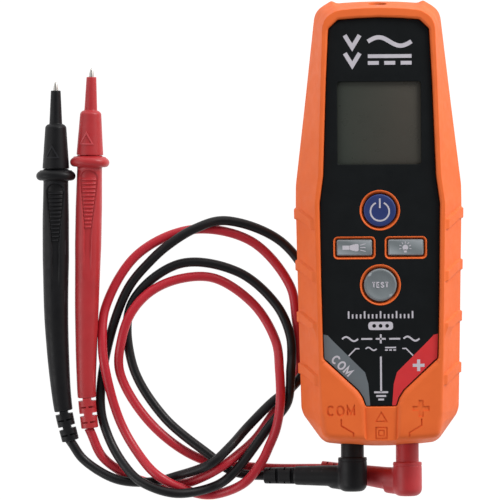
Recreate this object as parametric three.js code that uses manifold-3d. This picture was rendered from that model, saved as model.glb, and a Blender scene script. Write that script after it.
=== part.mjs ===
// A handheld voltage tester with two test leads, as separate solids.
// Millimetres, +Z up. The tester lies on its back: the origin is the middle of its box on the
// surface it lies on, +Y runs to the display end, and +Z out of the front face.
import * as THREE from 'three';
import { mergeVertices } from 'three/addons/utils/BufferGeometryUtils.js';
import Module from 'manifold-3d';

const wasm = await Module();
wasm.setup();

// ---------------------------------------------------------------- driving dimensions

const GAP = 0.3; // clearance kept between pieces that touch

const PARTING_Z = 17; // joint between the two case halves, and the jacks' axis
const BELT_Z = 18.5; // top of the upright band round the case
const RIM_Z = 36; // top of the rim round the face
const PANEL_Z = 34.2; // face of the black panel
const PANEL_T = 1.5;
const DECK_Z = PANEL_Z - PANEL_T - GAP;
const DECK_T = 2;
const DECK_UNDERSIDE_Z = DECK_Z - DECK_T;
const WALL = 2.4;

const BOARD_Z = 22; // top of the circuit board
const BOARD_T = 1.6;

const DISPLAY = { y: 40, width: 33.6, height: 33.2 };
const POWER_KEY = { x: 0, y: 5, radius: 6.5, collar: 7.85 };
const GFCI_KEY = { x: 0, y: -24.9, radius: 6.6, collar: 7.95 };
const FLAT_KEYS = { x: 10.3, y: -9.9, width: 14.2, height: 6.4 };
const FLAT_COLLAR = { width: 16.1, height: 8.5 };
const KEY_TOP_Z = 34.7;

const JACK_X = 11.1;
const JACK_WELL_R = 4.95;
const JACK_POST_R = 3.45;
const CASE_END_Y = -90;

const CELL = { x: 5.6, z: 7.7, radius: 5.2, length: 44.5, nub: 0.8 };
const BAY = { half_width: 12.9, half_length: 25.4, ceiling: 13.4 };
const DOOR = { half_width: 12.9, top_y: 26.2, bottom_y: -33.8, low_z: 0.3, high_z: 2.4 };
const DOOR_SCREW_Y = -30.2;
const CASE_SCREWS = [[-13.5, 68], [13.5, 68], [-15.5, -58], [15.5, -58]];

const CORD_DIAMETER = 3.8;
const LIGHT = { z: 25, radius: 3.5, face_y: 88 };

// Grip ribs down each side: the middle of each on the belt, and their common section.
const RIB_SPOTS = [4.3, -16.5, -37.3, -58.1];
const RIB = { width: 4.2, proud: 0.7, root: 1.2, lean: 7.2, low_z: 11.8, tuck: 3.4, top_z: 34.2 };

// The sunk strip between the two raised pads at the jack end.
const STRIP = [[-6.3, -72], [6.3, -72], [5.6, -93], [-5.6, -93]];

const SCREW = { shank: 1.2, hole: 1.5, head: 2.3, sink: 2.7, front_boss: 3.2, rear_boss: 3.6 };
const KEY_FLANGE = { low: 28.9, high: DECK_UNDERSIDE_Z - GAP, reach: 1.1, stem: 28, stem_r: 1.8 };

// The case outline, right half, from the top middle round to the bottom middle. Each station
// gives the outline at the belt, at the rim, and at the foot that the tester lies on.
const STATIONS = [
  { belt: [0, 89.6], rim: [0, 86.2], foot: [0, 84] },
  { belt: [9, 89.4], rim: [8.5, 86], foot: [7, 84] },
  { belt: [16.4, 88.9], rim: [15, 85.4], foot: [12, 83.6] },
  { belt: [18.5, 90], rim: [17.4, 84.9], foot: [14, 82.8] },
  { belt: [23.4, 87], rim: [20.9, 82.8], foot: [17.4, 79.6] },
  { belt: [25.4, 84.2], rim: [22.7, 79.4], foot: [18.6, 76.6] },
  { belt: [29.4, 49], rim: [23.8, 49], foot: [20.4, 46] },
  { belt: [33.4, 15.5], rim: [24.9, 18.8], foot: [21.4, 16] },
  { belt: [33.5, 7.5], rim: [26.4, 8], foot: [21.6, 6] },
  { belt: [32.4, -48], rim: [25.3, -48], foot: [21.4, -46] },
  { belt: [31.8, -74.6], rim: [24.5, -75], foot: [21, -72] },
  { belt: [30.9, -77.3], rim: [24.1, -80.4], foot: [20.4, -75.4] },
  { belt: [23.8, -87.2], rim: [23.4, -84.8], foot: [15.6, -83.6] },
  { belt: [21.6, -88.6], rim: [21.4, -86.3], foot: [13.6, -84.8] },
  { belt: [11, -89.7], rim: [11, -87], foot: [8, -85.4] },
  { belt: [0, CASE_END_Y], rim: [0, -87.2], foot: [0, -85.6] },
];

// The black panel's outline, right half. Its lower corners are cut away by the raised pads.
const PANEL_HALF = [
  [0, 82], [8.4, 81.8], [16.4, 81.4], [18.6, 80], [19.9, 77.6], [21.1, 56], [22.4, 18.8],
  [23.9, 8], [23.4, -28], [22.8, -54.4], [21.4, -55.6], [9.2, -67], [7.2, -70], [6.2, -73.3],
];

// Each cord's route, from its probe to its plug: middle of the cord, z included. Where one
// strand crosses another it rides over it, a cord's thickness higher.
const RED_ROUTE = [
  [-117.7, -84, 3.6], [-112.8, -94.5, 2.2], [-102.5, -102, 2], [-92, -105.5, 2],
  [-80, -105.6, 2.8], [-71.5, -102.5, 7.3], [-64, -98.2, 10.6], [-57.5, -93.6, 7.1],
  [-50, -87, 2.6], [-41, -74, 2.1], [-33.5, -63, 2], [-32.5, -51.5, 2], [-33.5, -38.5, 2],
  [-36, -25, 2], [-51.5, -7, 2], [-75.5, -2, 2], [-98, -12, 2], [-111, -33, 2.9],
  [-112.5, -47.5, 5.8], [-111.5, -58, 6.2], [-106, -79, 2.2], [-99, -92, 4.2],
  [-90, -102, 10.5], [-75, -109.3, 5.4], [-67.5, -110, 4.2], [-55, -105, 10],
  [-48, -96.5, 10], [-45, -90.5, 8.4], [-42, -83, 9.8], [-40.3, -72.5, 12.5],
  [-40.5, -59.5, 10.6], [-42, -47.5, 3.4], [-50.5, -33, 2.1], [-66.5, -22, 2],
  [-80.5, -22, 2.2], [-92.5, -27, 4.3], [-100.5, -35.5, 6.2], [-104.5, -46, 5.7],
  [-105.5, -60, 2.9], [-93, -81, 2], [-73, -95.5, 2], [-48.5, -99.3, 2], [-24, -99.8, 3],
];
const BLACK_ROUTE = [
  [-125.5, -88.4, 3.6], [-120.5, -95.5, 2.6], [-107, -103.5, 5], [-92, -104.5, 6.3],
  [-82.5, -102.3, 5.3], [-68.5, -97, 12.7], [-61, -90.5, 10.3], [-53.5, -82.5, 3.6],
  [-43.5, -72.5, 5.3], [-34, -65, 6.2], [-27, -53, 4.1], [-26, -28.5, 2.4], [-39, -7.5, 2.3],
  [-62, 1.5, 4], [-74.5, -1.7, 6.2], [-85, -8, 4.8], [-92.5, -14.5, 2.9], [-102, -26, 3],
  [-110.5, -49.5, 2], [-113.5, -73.5, 2.1], [-110.5, -86, 2.6], [-104, -97.5, 6.7],
  [-97, -104.3, 10.4], [-83, -109, 12], [-67.5, -106.5, 8.4], [-60, -101.5, 10.4],
  [-44.5, -82, 5.9], [-37.7, -73.3, 8.4], [-36.3, -67, 10.7], [-36, -60, 9.2],
  [-35.5, -54, 5.6], [-36, -45.5, 4.8], [-41.5, -33, 2.5], [-57, -19.5, 2], [-81, -16, 2],
  [-100.5, -32, 2], [-100.5, -56.5, 2.1], [-88, -78, 2.2], [-69, -94, 5.7], [-61, -100, 6.3],
  [-54, -101.9, 5.6], [-46.9, -102.3, 6.8],
];

// Each probe's axis from its tip, past its finger guard, to the end of its strain relief.
const RED_PROBE_AXIS = [
  [-115.9, 63.7, 9.7], [-116.25, 51.7, 9.2], [-116.6, 39.7, 8.7], [-117, 25.9, 8.1],
  [-118, -10, 6.7], [-118.9, -42.6, 5.3], [-119, -70.2, 4.2], [-117.8, -83.6, 3.65],
];
const BLACK_PROBE_AXIS = [
  [-130.5, 58.3, 9.7], [-130.6, 46.3, 9.2], [-130.7, 34.3, 8.7], [-130.8, 20.5, 8.1],
  [-131.1, -10, 6.8], [-131, -42.5, 5.5], [-128.6, -75, 4.1], [-125.7, -88, 3.65],
];

// Probe lengths are distances along that axis from the point of the tip.
const PROBE = {
  cap_start: 3.5, cap_end: 35.2, nose_start: 30, guard: 38, guard_radius: 7.9,
  body_end: 134, relief_end: 146.6,
};

// ---------------------------------------------------------------- materials

const finish = (color, roughness, metalness = 0) =>
  new THREE.MeshStandardMaterial({ color, roughness, metalness });

const MATERIALS = {
  bumper: finish(0xe06a35, 0.6),
  rear: finish(0xd8622f, 0.65),
  panel: finish(0x15181a, 0.5),
  clear: finish(0x3c3f38, 0.1),
  glass: finish(0x55594e, 0.2),
  blue: finish(0x243f8a, 0.45),
  grey: finish(0x6b7275, 0.5),
  black: finish(0x1b1c20, 0.6),
  red: finish(0xb03236, 0.55),
  board: finish(0x1e5b3a, 0.6),
  white: finish(0xe8e8e2, 0.6),
  nickel: finish(0xc9c9c6, 0.3, 1),
  brass: finish(0xb8954a, 0.3, 1),
  cell: finish(0x2f3a44, 0.4),
};

// ---------------------------------------------------------------- geometry helpers

// Shared vertices merged, flat triangles dropped, faces turned outward.
function closed(geometry) {
  const bare = geometry.clone();
  bare.deleteAttribute('normal');
  bare.deleteAttribute('uv');
  const merged = mergeVertices(bare, 1e-5);
  const position = merged.getAttribute('position');
  const kept = [];
  let volume = 0;
  const [a, b, c] = [new THREE.Vector3(), new THREE.Vector3(), new THREE.Vector3()];
  for (let i = 0; i < merged.index.count; i += 3) {
    const [p, q, r] = [0, 1, 2].map((k) => merged.index.getX(i + k));
    if (p === q || q === r || r === p) continue;
    kept.push(p, q, r);
    a.fromBufferAttribute(position, p);
    b.fromBufferAttribute(position, q);
    c.fromBufferAttribute(position, r);
    volume += a.dot(b.cross(c));
  }
  if (volume < 0) {
    for (let i = 0; i < kept.length; i += 3) [kept[i], kept[i + 1]] = [kept[i + 1], kept[i]];
  }
  merged.setIndex(kept);
  return merged;
}

function solid(geometry) {
  const clean = closed(geometry);
  return new wasm.Manifold(new wasm.Mesh({
    numProp: 3,
    vertProperties: new Float32Array(clean.getAttribute('position').array),
    triVerts: new Uint32Array(clean.index.array),
  }));
}

function geometryOf(shape) {
  const mesh = shape.getMesh();
  const geometry = new THREE.BufferGeometry();
  geometry.setAttribute('position', new THREE.BufferAttribute(mesh.vertProperties, 3));
  geometry.setIndex(new THREE.BufferAttribute(mesh.triVerts, 1));
  return geometry;
}

const join = (first, ...rest) => rest.reduce((sum, next) => sum.add(next), first);
const cut = (first, ...rest) => rest.reduce((left, next) => left.subtract(next), first);

// A box from its lowest to its highest corner.
function box(low, high) {
  const size = high.map((value, axis) => value - low[axis]);
  const geometry = new THREE.BoxGeometry(...size);
  geometry.translate(...high.map((value, axis) => (value + low[axis]) / 2));
  return geometry;
}

// An upright disc or truncated cone.
function post(x, y, lowZ, highZ, radius, topRadius = radius, sides = 20) {
  const geometry = new THREE.CylinderGeometry(topRadius, radius, highZ - lowZ, sides);
  geometry.rotateX(Math.PI / 2);
  geometry.translate(x, y, (lowZ + highZ) / 2);
  return geometry;
}

// A bar along +Y.
function bar(x, z, lowY, highY, radius, sides = 20) {
  const geometry = new THREE.CylinderGeometry(radius, radius, highY - lowY, sides);
  geometry.translate(x, (lowY + highY) / 2, z);
  return geometry;
}

// A turned piece whose axis runs along +Y: profile points are [radius, y].
function turned(x, z, profile, sides = 18) {
  const geometry = new THREE.LatheGeometry(profile.map(([r, y]) => new THREE.Vector2(r, y)), sides);
  geometry.translate(x, 0, z);
  return geometry;
}

// A flat shape made from an outline, between two heights.
function plate(points, lowZ, highZ) {
  const shape = new THREE.Shape(points.map(([x, y]) => new THREE.Vector2(x, y)));
  const geometry = new THREE.ExtrudeGeometry(shape, { depth: highZ - lowZ, bevelEnabled: false });
  geometry.translate(0, 0, lowZ);
  return geometry;
}

const circle = (x, y, radius, sides = 24) => Array.from({ length: sides }, (_, i) => {
  const angle = (-2 * Math.PI * i) / sides;
  return [x + radius * Math.cos(angle), y + radius * Math.sin(angle)];
});

const rectangle = (x, y, width, height) => [
  [x - width / 2, y - height / 2], [x - width / 2, y + height / 2],
  [x + width / 2, y + height / 2], [x + width / 2, y - height / 2],
];

// The whole outline from its right half, clockwise from the top middle.
function mirrored(half) {
  const inner = half.slice(1).filter(([x]) => x !== 0);
  return [...half, ...inner.reverse().map(([x, y]) => [-x, y])];
}

// Moves a clockwise outline inward by a distance (outward if it is negative).
function inset(points, distance) {
  return points.map((point, i) => {
    const before = points[(i + points.length - 1) % points.length];
    const after = points[(i + 1) % points.length];
    const along = [point[0] - before[0], point[1] - before[1]];
    const onward = [after[0] - point[0], after[1] - point[1]];
    const inwardA = new THREE.Vector2(along[1], -along[0]).normalize();
    const inwardB = new THREE.Vector2(onward[1], -onward[0]).normalize();
    const middle = inwardA.clone().add(inwardB).normalize();
    const reach = distance / Math.max(middle.dot(inwardA), 0.6);
    return [point[0] + middle.x * reach, point[1] + middle.y * reach];
  });
}

const clockwise = (points) => (THREE.ShapeUtils.isClockWise(points.map(([x, y]) => ({ x, y })))
  ? points : [...points].reverse());

// A closed skin through outlines of equal count at rising heights.
function loft(levels) {
  const rings = levels.map(({ points, z }) => ({ points: clockwise(points), z }));
  const count = rings[0].points.length;
  const positions = rings.flatMap(({ points, z }) => points.flatMap(([x, y]) => [x, y, z]));
  const index = [];
  for (let level = 0; level + 1 < rings.length; level += 1) {
    for (let i = 0; i < count; i += 1) {
      const a = level * count + i;
      const b = level * count + ((i + 1) % count);
      index.push(a, b, a + count, b, b + count, a + count);
    }
  }
  const capOf = (ring) => THREE.ShapeUtils.triangulateShape(
    ring.points.map(([x, y]) => new THREE.Vector2(x, y)), []);
  const top = (rings.length - 1) * count;
  for (const [a, b, c] of capOf(rings[0])) index.push(a, b, c);
  for (const [a, b, c] of capOf(rings.at(-1))) index.push(top + a, top + c, top + b);
  const geometry = new THREE.BufferGeometry();
  geometry.setAttribute('position', new THREE.Float32BufferAttribute(positions, 3));
  geometry.setIndex(index);
  return geometry;
}

const vector = (point) => new THREE.Vector3(...point);

// Bends a turned profile along a curve: profile points are [radius, distance along the curve].
function turnedAlong(curve, profile, sides = 14) {
  const geometry = new THREE.LatheGeometry(profile.map(([r, s]) => new THREE.Vector2(r, s)), sides);
  const length = curve.getLength();
  const position = geometry.getAttribute('position');
  const up = new THREE.Vector3(0, 0, 1);
  for (let i = 0; i < position.count; i += 1) {
    const along = THREE.MathUtils.clamp(position.getY(i) / length, 0, 1);
    const tangent = curve.getTangentAt(along);
    const side = tangent.clone().cross(up).normalize();
    const lift = side.clone().cross(tangent);
    const place = curve.getPointAt(along);
    place.addScaledVector(side, position.getX(i)).addScaledVector(lift, position.getZ(i));
    position.setXYZ(i, place.x, place.y, place.z);
  }
  return geometry;
}

const curveThrough = (points) => {
  const curve = new THREE.CatmullRomCurve3(points.map(vector));
  curve.arcLengthDivisions = 1200;
  return curve;
};

// A round section swept along a curve.
function swept(curve, radius, sides, steps) {
  const outline = circle(0, 0, radius, sides);
  const section = new THREE.Shape(outline.map(([x, y]) => new THREE.Vector2(x, y)));
  return new THREE.ExtrudeGeometry(section, { extrudePath: curve, steps, bevelEnabled: false });
}

function node(group, name, shape, material) {
  const geometry = shape instanceof THREE.BufferGeometry ? closed(shape) : geometryOf(shape);
  const mesh = new THREE.Mesh(geometry, material);
  mesh.name = name;
  group.add(mesh);
}

// ---------------------------------------------------------------- the case

const OUTLINE = {
  belt: mirrored(STATIONS.map(({ belt }) => belt)),
  rim: mirrored(STATIONS.map(({ rim }) => rim)),
  foot: mirrored(STATIONS.map(({ foot }) => foot)),
};
const PANEL = mirrored(PANEL_HALF);
const RIM_EDGE = 0.6; // bevel round the top of the rim
const RIM_EDGE_Z = RIM_Z - RIM_EDGE;
const FOOT_EDGE = 0.8;
const FOOT_TOP_Z = 6;
const FLARE_TOP_Z = 15.5;
const REAR_TOP_Z = PARTING_Z - GAP;

const between = (low, high, share) => low.map(([x, y], i) => [
  x + (high[i][0] - x) * share, y + (high[i][1] - y) * share]);

const slopeAt = (z) => between(OUTLINE.belt, OUTLINE.rim, (z - BELT_Z) / (RIM_EDGE_Z - BELT_Z));

// A diagonal rib down the sloping side and over the belt. It leans towards the bottom end.
function sideRib(side, y) {
  const { width, proud, root, lean, low_z: low, tuck, top_z: top } = RIB;
  const halfWidthAt = (z, atY) => {
    const outline = z <= BELT_Z ? OUTLINE.belt : slopeAt(z);
    const right = outline.slice(0, STATIONS.length);
    const i = right.findIndex((point, k) => k > 5 && point[1] <= atY);
    const [from, to] = [right[i - 1], right[i]];
    return from[0] + ((to[0] - from[0]) * (atY - from[1])) / (to[1] - from[1]);
  };
  const rung = (z, shift, lift) => {
    const x = halfWidthAt(z, y - shift);
    const edges = [[x - root, y - shift - width / 2], [x - root, y - shift + width / 2],
      [x + lift, y - shift + width / 2], [x + lift, y - shift - width / 2]];
    return { z, points: edges.map(([px, py]) => [side * px, py]) };
  };
  const waist = FLARE_TOP_Z + 0.4;
  return loft([
    { z: low, points: rung(waist, 0, proud).points.map(([x, py]) => [x - side * tuck, py]) },
    rung(waist, 0, proud), rung(BELT_Z, 0, proud), rung(top, lean, proud)]);
}

function keyHoles(shrink) {
  const round = ({ x, y, collar }) => circle(x, y, collar + shrink);
  const flat = (side) => rectangle(
    side * FLAT_KEYS.x, FLAT_KEYS.y, FLAT_COLLAR.width + 2 * shrink, FLAT_COLLAR.height + 2 * shrink);
  return [round(POWER_KEY), round(GFCI_KEY), flat(-1), flat(1)];
}

// The funnel that a key stands in: a cone or frustum that opens towards the face.
function roundFunnel({ x, y, radius, collar }) {
  return join(
    solid(post(x, y, DECK_UNDERSIDE_Z - 1, DECK_Z + 0.3, radius + GAP, radius + GAP, 24)),
    solid(post(x, y, DECK_Z + 0.2, PANEL_Z, radius + GAP, collar - 0.15, 24)));
}

function flatFunnel(side) {
  const x = side * FLAT_KEYS.x;
  const { y, width, height } = FLAT_KEYS;
  const tight = rectangle(x, y, width + 2 * GAP, height + 2 * GAP);
  const open = rectangle(x, y, FLAT_COLLAR.width - 0.3, FLAT_COLLAR.height - 0.3);
  return solid(loft([
    { z: DECK_UNDERSIDE_Z - 1, points: tight }, { z: DECK_Z + 0.2, points: tight },
    { z: PANEL_Z, points: open }]));
}

const jackBores = () => [-1, 1].map((side) => solid(
  bar(side * JACK_X, PARTING_Z, CASE_END_Y - 3, CASE_END_Y + 6, JACK_WELL_R)));

function frontCase() {
  const outer = solid(loft([
    { z: PARTING_Z, points: OUTLINE.belt }, { z: BELT_Z, points: OUTLINE.belt },
    { z: RIM_EDGE_Z, points: OUTLINE.rim }, { z: RIM_Z, points: inset(OUTLINE.rim, RIM_EDGE) },
  ]));
  const ribs = [-1, 1].flatMap((side) => RIB_SPOTS.map((y) => solid(sideRib(side, y))));
  const topHalf = solid(box([-60, -120, PARTING_Z], [60, 120, RIM_Z + 1]));
  const cavity = solid(loft([
    { z: PARTING_Z - 1, points: inset(OUTLINE.belt, WALL) },
    { z: BELT_Z, points: inset(OUTLINE.belt, WALL) },
    { z: DECK_UNDERSIDE_Z, points: inset(slopeAt(DECK_UNDERSIDE_Z), WALL) },
  ]));
  const face = solid(plate(inset(PANEL, -GAP), DECK_Z, RIM_Z + 2));
  const strip = solid(plate(STRIP, PANEL_Z, RIM_Z + 2));
  const collars = keyHoles(0).map((hole) => solid(plate(hole, DECK_Z - 0.5, PANEL_Z - 0.1)));
  const bosses = CASE_SCREWS.map(([x, y]) => solid(
    post(x, y, PARTING_Z, DECK_UNDERSIDE_Z + 0.5, SCREW.front_boss, SCREW.front_boss, 14)));
  const screwHoles = CASE_SCREWS.map(([x, y]) => solid(
    post(x, y, PARTING_Z - 1, 25, SCREW.hole, SCREW.hole, 12)));
  const lightHole = solid(bar(0, LIGHT.z, 80, 95, LIGHT.radius + GAP));
  const displayHole = solid(plate(rectangle(0, DISPLAY.y, 30, 30), DECK_UNDERSIDE_Z - 1, DECK_Z + 1));
  const hollow = cut(outer, cavity, face, strip);
  const keyed = cut(
    join(hollow, ...collars), roundFunnel(POWER_KEY), roundFunnel(GFCI_KEY), flatFunnel(-1), flatFunnel(1));
  const ribbed = join(keyed, ...ribs.map((rib) => rib.intersect(topHalf).subtract(cavity)));
  return cut(join(ribbed, ...bosses), ...screwHoles, lightHole, displayHole, ...jackBores());
}

function rearCase() {
  const flare = between(inset(OUTLINE.foot, -0.7), OUTLINE.belt, 0.08);
  const outer = solid(loft([
    { z: 0, points: inset(OUTLINE.foot, FOOT_EDGE) }, { z: FOOT_EDGE, points: OUTLINE.foot },
    { z: FOOT_TOP_Z, points: flare }, { z: FLARE_TOP_Z, points: OUTLINE.belt },
    { z: REAR_TOP_Z, points: OUTLINE.belt },
  ]));
  const ribs = [-1, 1].flatMap((side) => RIB_SPOTS.map((y) => solid(sideRib(side, y))));
  const lowHalf = solid(box([-60, -120, 0], [60, 120, REAR_TOP_Z]));
  const cavity = solid(loft([
    { z: WALL, points: inset(OUTLINE.foot, WALL) }, { z: FOOT_TOP_Z, points: inset(flare, WALL) },
    { z: FLARE_TOP_Z + 0.5, points: inset(OUTLINE.belt, WALL) },
    { z: REAR_TOP_Z + 1, points: inset(OUTLINE.belt, WALL) },
  ]));
  const wall = 1.4;
  const bay = solid(box(
    [-BAY.half_width - wall, DOOR.bottom_y - wall, 1],
    [BAY.half_width + wall, DOOR.top_y + wall, BAY.ceiling + wall]));
  const bayHollow = solid(box(
    [-BAY.half_width, -BAY.half_length, -1], [BAY.half_width, BAY.half_length, BAY.ceiling]));
  const doorway = solid(box([-DOOR.half_width - GAP, DOOR.bottom_y - GAP, -1],
    [DOOR.half_width + GAP, DOOR.top_y + GAP, DOOR.high_z + GAP]));
  const doorScrewHole = solid(post(0, DOOR_SCREW_Y, 0, 10, SCREW.hole, SCREW.hole, 12));
  const bosses = CASE_SCREWS.map(([x, y]) => solid(
    post(x, y, 1, REAR_TOP_Z, SCREW.rear_boss, SCREW.rear_boss, 14)));
  const shafts = CASE_SCREWS.map(([x, y]) => solid(
    post(x, y, 2, REAR_TOP_Z + 1, SCREW.hole, SCREW.hole, 12)));
  const sinks = CASE_SCREWS.map(([x, y]) => solid(
    post(x, y, -1, 2.6, SCREW.sink, SCREW.sink, 16)));
  const shell = cut(outer, cavity);
  const ribbed = join(shell, ...ribs.map((rib) => rib.intersect(lowHalf).subtract(cavity)));
  return cut(
    join(ribbed, bay, ...bosses), bayHollow, doorway, doorScrewHole, ...shafts, ...sinks, ...jackBores());
}

// A screw that points up: its head is at the bottom.
function screw(x, y, headZ, headT, tipZ) {
  const { head, shank } = SCREW;
  const [arm, halfWidth, depth] = [head * 0.6, 0.35, 0.6];
  const slots = [[arm, halfWidth], [halfWidth, arm]].map(([halfX, halfY]) => solid(
    box([x - halfX, y - halfY, headZ - 1], [x + halfX, y + halfY, headZ + depth])));
  const body = join(
    solid(post(x, y, headZ, headZ + headT, head, head, 14)),
    solid(post(x, y, headZ + headT - 0.2, tipZ - shank, shank, shank, 10)),
    solid(post(x, y, tipZ - shank - 0.1, tipZ, shank, 0.3, 10)));
  return cut(body, ...slots);
}

// ---------------------------------------------------------------- face, keys and display

function facePanel() {
  const window = rectangle(0, DISPLAY.y, DISPLAY.width, DISPLAY.height);
  const holes = [window, ...keyHoles(GAP)].map((hole) => solid(plate(hole, DECK_Z - 1, PANEL_Z + 1)));
  return cut(solid(plate(PANEL, PANEL_Z - PANEL_T, PANEL_Z)), ...holes);
}

const keyStem = (x, y) => solid(
  post(x, y, KEY_FLANGE.stem, KEY_FLANGE.low + 0.2, KEY_FLANGE.stem_r, KEY_FLANGE.stem_r, 12));

// A dished key has a shallow hollow in its top.
function roundKey({ x, y, radius }, dish) {
  const cap = solid(post(x, y, KEY_FLANGE.low, KEY_TOP_Z, radius, radius - 0.2, 24));
  const reach = radius + KEY_FLANGE.reach;
  const flange = solid(post(x, y, KEY_FLANGE.low, KEY_FLANGE.high, reach, reach, 24));
  const whole = join(cap, flange, keyStem(x, y));
  if (!dish) return whole;
  return cut(whole, solid(post(x, y, KEY_TOP_Z - dish, KEY_TOP_Z + 0.1, radius * 0.4, radius * 0.9, 24)));
}

function flatKey(side) {
  const x = side * FLAT_KEYS.x;
  const { y, width, height } = FLAT_KEYS;
  const cap = solid(plate(rectangle(x, y, width, height), KEY_FLANGE.low, KEY_TOP_Z - 0.2));
  const flange = solid(plate(rectangle(x, y, width + 2, height + 2), KEY_FLANGE.low, KEY_FLANGE.high));
  return join(cap, flange, keyStem(x, y));
}

function tactileSwitch(x, y) {
  const base = solid(box([x - 3, y - 3, BOARD_Z + GAP], [x + 3, y + 3, BOARD_Z + 3.8]));
  return join(base, solid(post(x, y, BOARD_Z + 3.6, 26.8, 1.6, 1.6, 12)));
}

function displayFrame() {
  const [outer, inner] = [37, 33];
  const base = plate(rectangle(0, DISPLAY.y, outer, outer), BOARD_Z + GAP, 30.1);
  const seat = plate(rectangle(0, DISPLAY.y, inner, inner), 25.5, 31);
  const well = plate(rectangle(0, DISPLAY.y, 29, 32.4), BOARD_Z - 1, 26);
  return cut(solid(base), solid(seat), solid(well));
}

function circuitBoard() {
  const half = [[0, 77], [21, 77], [24.8, 30], [26, 6], [25.4, -62], [0, -62]];
  const holes = CASE_SCREWS.map(([x, y]) => solid(post(x, y, BOARD_Z - 5, BOARD_Z + 5, 3.6, 3.6, 14)));
  return cut(solid(plate(mirrored(half), BOARD_Z - BOARD_T, BOARD_Z)), ...holes);
}

// ---------------------------------------------------------------- power and jacks

// An AAA cell along Y: way is 1 where the positive nub points to +Y.
function cell(side, way) {
  const profile = [
    [0, 0], [4.6, 0], [CELL.radius, 0.6], [CELL.radius, CELL.length - 1.6],
    [4.4, CELL.length - CELL.nub], [1.9, CELL.length - CELL.nub], [1.9, CELL.length], [0, CELL.length]];
  const geometry = turned(0, 0, profile, 20);
  const start = BAY.half_length - 1 - CELL.length;
  if (way < 0) geometry.rotateZ(Math.PI);
  geometry.translate(side * CELL.x, way * start, CELL.z);
  return geometry;
}

const CONTACT_T = 0.4;
const CONTACT_Y = BAY.half_length - 0.3 - CONTACT_T; // inner face of a contact plate

function contact(lowX, highX, end) {
  const [near, far] = [end * CONTACT_Y, end * (CONTACT_Y + CONTACT_T)];
  return box([lowX, Math.min(near, far), 3.4], [highX, Math.max(near, far), 12]);
}

// A tapering coil between a contact plate and the flat end of its cell.
function cellSpring(side, end) {
  const [turns, perTurn, wire] = [3.5, 10, 0.3];
  const reach = BAY.half_length - 1 - CELL.length;
  const plateSide = CONTACT_Y - GAP - wire;
  const cellSide = Math.abs(reach) + GAP + wire;
  const points = Array.from({ length: turns * perTurn + 1 }, (_, i) => {
    const share = i / (turns * perTurn);
    const radius = 3.6 - 1.3 * share;
    const angle = 2 * Math.PI * turns * share;
    const y = end * (plateSide + (cellSide - plateSide) * share);
    const [across, rise] = [radius * Math.cos(angle), radius * Math.sin(angle)];
    return new THREE.Vector3(side * CELL.x + across, y, CELL.z + rise);
  });
  return swept(new THREE.CatmullRomCurve3(points), wire, 5, turns * perTurn);
}

function batteryDoor() {
  const { half_width: x, top_y: top, bottom_y: bottom, low_z: low, high_z: high } = DOOR;
  const slab = solid(box([-x, bottom, low], [x, top, high]));
  const hole = solid(post(0, DOOR_SCREW_Y, -1, high + 1, SCREW.hole, SCREW.hole, 12));
  const sink = solid(post(0, DOOR_SCREW_Y, -1, 1.5, SCREW.sink, SCREW.sink, 16));
  return cut(slab, hole, sink);
}

function jackBlock() {
  const body = solid(box([-17.2, -84.7, 11.4], [17.2, -66, 23.6]));
  const wells = [-1, 1].flatMap((side) => {
    const x = side * JACK_X;
    const ring = cut(
      solid(bar(x, PARTING_Z, -86, -71, JACK_WELL_R)),
      solid(bar(x, PARTING_Z, -87, -70, JACK_POST_R)));
    return [ring, solid(bar(x, PARTING_Z, -87, -67, 3, 16))];
  });
  return cut(body, ...wells);
}

const jackSocket = (side) => turned(side * JACK_X, PARTING_Z, [
  [2.3, -84.4], [2.7, -84.4], [2.7, -67.3], [0, -67.3], [0, -68.5], [2.3, -68.5], [2.3, -84.4]], 16);

// ---------------------------------------------------------------- the leads

const PLUGS = {
  black: {
    x: -11.3, collar_y: -94.6, shroud_y: -72,
    arm: [[-11.3, -102.2, 16.5], [-23, -102.2, 13.3], [-35, -102.2, 10], [-46.6, -102.3, 6.85]],
    arm_radii: [4, 3.6],
    relief_length: 12.2,
  },
  red: {
    x: 10.9, collar_y: -96.6, shroud_y: -74,
    arm: [[10.9, -103.6, 16.5], [4, -103.5, 13], [-3, -103, 9.2], [-9, -102.1, 6.6],
      [-14, -101.2, 4.9], [-23.7, -99.9, 3.2]],
    arm_radii: [4.4, 3.7],
    relief_length: 10.4,
  },
};

function plugBody({ x, collar_y: y, shroud_y: front, arm, arm_radii: [wide, slim], relief_length: tail }) {
  const curve = curveThrough(arm);
  const end = curve.getLength() - tail;
  const collar = turned(x, PARTING_Z, [
    [0, y - 13.9], [3.4, y - 13.9], [4.9, y - 13.2], [5.7, y - 11.4], [5.65, y - 0.7], [5.1, y],
    [4.65, y], [4.65, front], [0, front]], 20);
  const sleeve = turnedAlong(
    curve, [[0, 0], [wide, 0], [wide, end * 0.4], [slim, end], [0, end]], 16);
  const hollow = bar(x, PARTING_Z, y + 0.6, front + 1, 3.75, 18);
  const pinHole = bar(x, PARTING_Z, y - 7, y + 2, 2.3, 14);
  return cut(join(solid(collar), solid(sleeve)), solid(hollow), solid(pinHole));
}

const plugPin = ({ x, collar_y: y, shroud_y: front }) => turned(x, PARTING_Z, [
  [0, y - 6.7], [2, y - 6.7], [2, front - 3], [1.3, front - 1.2], [0, front - 1.2]], 14);

// Ribs and grooves of a strain relief, from one distance to another along a curve.
function reliefProfile(start, end, startRadius, endRadius, ribs) {
  const pitch = (end - start) / ribs;
  const profile = [[0, start]];
  for (let i = 0; i < ribs; i += 1) {
    const radius = startRadius + ((endRadius - startRadius) * i) / (ribs - 1);
    const from = start + i * pitch;
    profile.push([radius, from], [radius, from + pitch * 0.68]);
    if (i + 1 < ribs) profile.push([2.5, from + pitch * 0.68], [2.5, from + pitch]);
  }
  profile.push([0, profile.at(-1)[1]]);
  return profile;
}

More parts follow.
